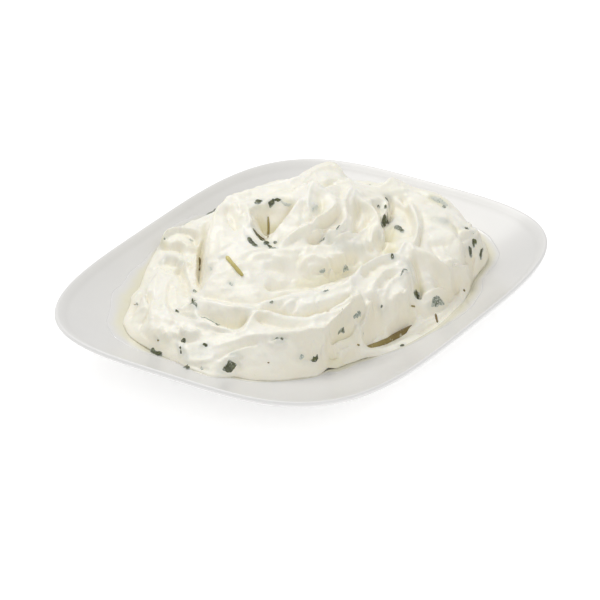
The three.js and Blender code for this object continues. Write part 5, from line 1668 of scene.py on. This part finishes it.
@lru_cache(maxsize=None)
def stem_look():
    """Stem skin: from yellow green to brown along its length, with smears of yogurt."""
    colours = purslane_look()
    look = Look("purslane_stem_skin", Coat_Weight=0.25, Coat_Roughness=0.12, IOR=1.42)
    green, brown = tuple(colours.stem_green), tuple(colours.stem_brown)
    old = (look.number("brown") + look.number("along") * 0.35
           + look.noise(220.0, 2.0) * 0.5 - 0.4).clamped()
    body = look.blend(old, green, brown)
    smear = look.steps(look.noise(330.0, 3.0, 0.6), 0.58, 0.72)
    body = look.blend(smear * 0.75, body, (0.74, 0.72, 0.6))
    rough = 0.25 + look.noise(400.0, 2.0) * 0.2
    return look.finish(body, rough, [(look.noise(900.0, 3.0, 0.6), 0.0002)])


# ---- whey ----------------------------------------------------------------------------------

# How far the film of whey runs out past the dip: (heading in degrees, width in mm, spread
# in degrees). The heading is seen from the heap's middle, 0 at the viewer's right.
WHEY_TONGUES = [
    (195, 6.0, 14), (212, 4.0, 10), (180, 4.5, 12), (-20, 4.5, 10), (-5, 5.0, 12),
    (20, 4.0, 14), (-75, 2.0, 8), (60, 3.0, 20), (130, 3.5, 20),
]

# In mm: how deep the film is, how far it climbs at the dip and how fast that falls off, how
# far it runs in under the dip's edge, and how far its two faces lie over the glaze.
FILM, MENISCUS, MENISCUS_WIDTH = 0.20, 0.45, 0.35
FILM_INSIDE = 0.8
FILM_FACE, FILM_BACK = 0.012, 0.006
FILM_SECTORS, FILM_RINGS = 480, 15


def make_whey():
    """A film of whey round the dip: from under its edge out to the end of each tongue, on
    the well, climbing a little at the dip and nothing at its outer edge."""
    around = FILM_SECTORS
    angle = np.linspace(-math.pi, math.pi, around, endpoint=False)
    width = 1.0 + 0.4 * np.sin(9 * angle) + 0.3 * np.sin(23 * angle + 1)
    for heading, wide, spread in WHEY_TONGUES:
        off = (np.degrees(angle) - heading + 180) % 360 - 180
        width += wide * np.exp(-((off / spread) ** 2))
    share = np.linspace(0, 1, FILM_RINGS)[:, None] ** 1.5
    reach = footprint_reach(np.cos(angle), np.sin(angle))
    out = reach - FILM_INSIDE + (width + FILM_INSIDE) * share
    u = HEAP_MIDDLE[0] + out * np.cos(angle)
    v = HEAP_MIDDLE[1] + out * np.sin(angle)
    ground = well_under(u, v)
    climb = np.exp(-np.clip(out - reach + 0.3, 0, 9) / MENISCUS_WIDTH)
    thick = FILM * (1 - share**2) ** 2 + MENISCUS * climb
    thick[-1] = 0
    upper = np.stack([u, v, ground + FILM_FACE + thick], axis=-1).reshape(-1, 3)
    lower = np.stack([u, v, ground + FILM_BACK], axis=-1).reshape(-1, 3)
    points = np.vstack([upper, lower])
    faces = grid_quads(FILM_RINGS, around, closed=True)
    count = len(upper)
    inner = np.arange(around)
    outer = inner + (FILM_RINGS - 1) * around
    walls = [np.stack([inner, np.roll(inner, -1), np.roll(inner, -1) + count, inner + count], 1),
             np.stack([outer, outer + count, np.roll(outer, -1) + count, np.roll(outer, -1)], 1)]
    quads = np.vstack([faces[:, ::-1], faces + count] + walls)
    fade = np.tile((1 - share).repeat(around, axis=1).ravel(), 2)
    piece = new_piece("whey_film", to_plate(points), quads, numbers={"fade": fade})
    piece.data.materials.append(whey_look())


def whey_look():
    """Thin whey: yellowish at the dip, and clear, so of the glaze's colour, further out."""
    look = Look("whey", Coat_Weight=0.4, Coat_Roughness=0.03, IOR=1.4)
    glaze = tuple(plate_sizes().glaze)
    whey = look.blend(look.noise(200.0, 2.0), (0.75, 0.72, 0.56), (0.79, 0.77, 0.64))
    cover = look.steps(look.number("fade") + look.noise(150.0, 2.0) * 0.5, 0.3, 1.1)
    return look.finish(look.blend(cover, glaze, whey), 0.10 + look.noise(120.0, 1.0) * 0.06)


# ---- studio --------------------------------------------------------------------------------

# Half the floor's side and how far it lies under the plate, in m.
FLOOR_SIDE, FLOOR_DROP = 6.0, 0.0004
PICTURE_SIDE = 600.0
# Lights: place in the heap's frame in mm, side in m, share of the key's power and colour.
LIGHTS = {
    "key_light": ((-380, 420, 1000), 0.7, 1.0, (1.0, 0.99, 0.97)),
    "front_light": ((500, -900, 700), 1.0, 0.42, (1.0, 1.0, 1.0)),
}
LIGHT_AIM = (0, 0, 20)


def soft_light(name, place, size, power, colour):
    """A square area light, turned to the heap."""
    light = bpy.data.lights.new(name, "AREA")
    light.shape, light.size, light.energy, light.color = "SQUARE", size, power, colour
    holder = bpy.data.objects.new(name, light)
    bpy.context.scene.collection.objects.link(holder)
    place, aim = (Vector(to_plate(p) * MM) for p in (place, LIGHT_AIM))
    holder.location = place
    holder.rotation_mode = "QUATERNION"
    holder.rotation_quaternion = (aim - place).to_track_quat("-Z", "Y")


def make_studio():
    """A pale floor, a white room, a key light over the far left, a weaker one at the front
    and the camera."""
    setup = studio_setup()
    scene = bpy.context.scene
    mesh = bpy.data.meshes.new("pale_floor")
    corners = [(FLOOR_SIDE * a, FLOOR_SIDE * b, -FLOOR_DROP)
               for a, b in ((-1, -1), (1, -1), (1, 1), (-1, 1))]
    mesh.from_pydata(corners, [], [(0, 1, 2, 3)])
    floor = bpy.data.objects.new("pale_floor", mesh)
    scene.collection.objects.link(floor)
    look = Look("pale_floor", Roughness=0.9, Emission_Color=(1.0, 1.0, 1.0, 1.0),
                Emission_Strength=0.35)
    shade = tuple(setup.floor)
    dim = tuple(c * 0.985 for c in shade)
    mesh.materials.append(look.finish(look.blend(look.noise(3.0), shade, dim)))
    world = bpy.data.worlds.new("white_room")
    world.use_nodes = True
    room = world.node_tree.nodes["Background"].inputs
    room["Color"].default_value = (1.0, 1.0, 1.0, 1.0)
    room["Strength"].default_value = setup.fill
    scene.world = world
    for name, (place, size, share, colour) in LIGHTS.items():
        soft_light(name, place, size, setup.key * share, colour)
    place = sight_frame()[0]
    ray = sight_lines(*np.full((2, 1), PICTURE_SIDE / 2))[0]
    camera = bpy.data.cameras.new("camera")
    camera.sensor_width = 36.0
    camera.lens = UNITS_PER_MM * setup.distance / MM * camera.sensor_width / PICTURE_SIDE
    camera.clip_start, camera.clip_end = 0.05, 30.0
    holder = bpy.data.objects.new("camera", camera)
    scene.collection.objects.link(holder)
    holder.location = Vector(to_plate(place) * MM)
    holder.rotation_mode = "QUATERNION"
    holder.rotation_quaternion = Vector(to_plate(ray)).to_track_quat("-Z", "Y")
    scene.camera = holder
    scene.view_settings.view_transform = "Standard"


# ---- operators and panel -------------------------------------------------------------------


class DIP_OT_plate(bpy.types.Operator):
    """Make the glazed plate"""

    bl_idname = "dip.plate"
    bl_label = "Plate"

    def execute(self, context):
        make_plate()
        return {"FINISHED"}


class DIP_OT_heap(bpy.types.Operator):
    """Make the heaped dip"""

    bl_idname = "dip.heap"
    bl_label = "Heaped dip"

    def execute(self, context):
        make_dip()
        return {"FINISHED"}


class DIP_OT_purslane(bpy.types.Operator):
    """Make the chopped leaves, the cut stems and the long stem"""

    bl_idname = "dip.purslane"
    bl_label = "Purslane"

    def execute(self, context):
        make_leaves()
        make_stems()
        make_long_stem()
        return {"FINISHED"}


class DIP_OT_whey(bpy.types.Operator):
    """Make the film of whey on the plate"""

    bl_idname = "dip.whey"
    bl_label = "Whey"

    def execute(self, context):
        make_whey()
        return {"FINISHED"}


class DIP_OT_studio(bpy.types.Operator):
    """Make the floor, the lights and the camera"""

    bl_idname = "dip.studio"
    bl_label = "Studio"

    def execute(self, context):
        make_studio()
        return {"FINISHED"}


OPERATORS = (DIP_OT_plate, DIP_OT_heap, DIP_OT_purslane, DIP_OT_whey, DIP_OT_studio)
GROUPS = {
    "served_plate": PlateSizes,
    "served_dip": DipSizes,
    "served_purslane": PurslaneLook,
    "served_studio": StudioSetup,
}


class DIP_PT_panel(bpy.types.Panel):
    """Sizes, colours and pieces of the served dip"""

    bl_label = "Served dip"
    bl_idname = "DIP_PT_panel"
    bl_space_type = "VIEW_3D"
    bl_region_type = "UI"
    bl_category = "Dip"

    def draw(self, context):
        for name, group in GROUPS.items():
            box = self.layout.box()
            for key in group.__annotations__:
                box.prop(getattr(context.scene, name), key)
        for operator in OPERATORS:
            self.layout.operator(operator.bl_idname)


def register():
    for cls in (*GROUPS.values(), *OPERATORS, DIP_PT_panel):
        bpy.utils.register_class(cls)
    for name, group in GROUPS.items():
        setattr(bpy.types.Scene, name, PointerProperty(type=group))


def unregister():
    for name in GROUPS:
        delattr(bpy.types.Scene, name)
    for cls in (DIP_PT_panel, *reversed(OPERATORS), *reversed(GROUPS.values())):
        bpy.utils.unregister_class(cls)


def main():
    """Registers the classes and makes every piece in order."""
    register()
    bpy.ops.dip.studio()
    bpy.ops.dip.plate()
    bpy.ops.dip.heap()
    bpy.ops.dip.purslane()
    bpy.ops.dip.whey()


if __name__ == "__main__":
    main()
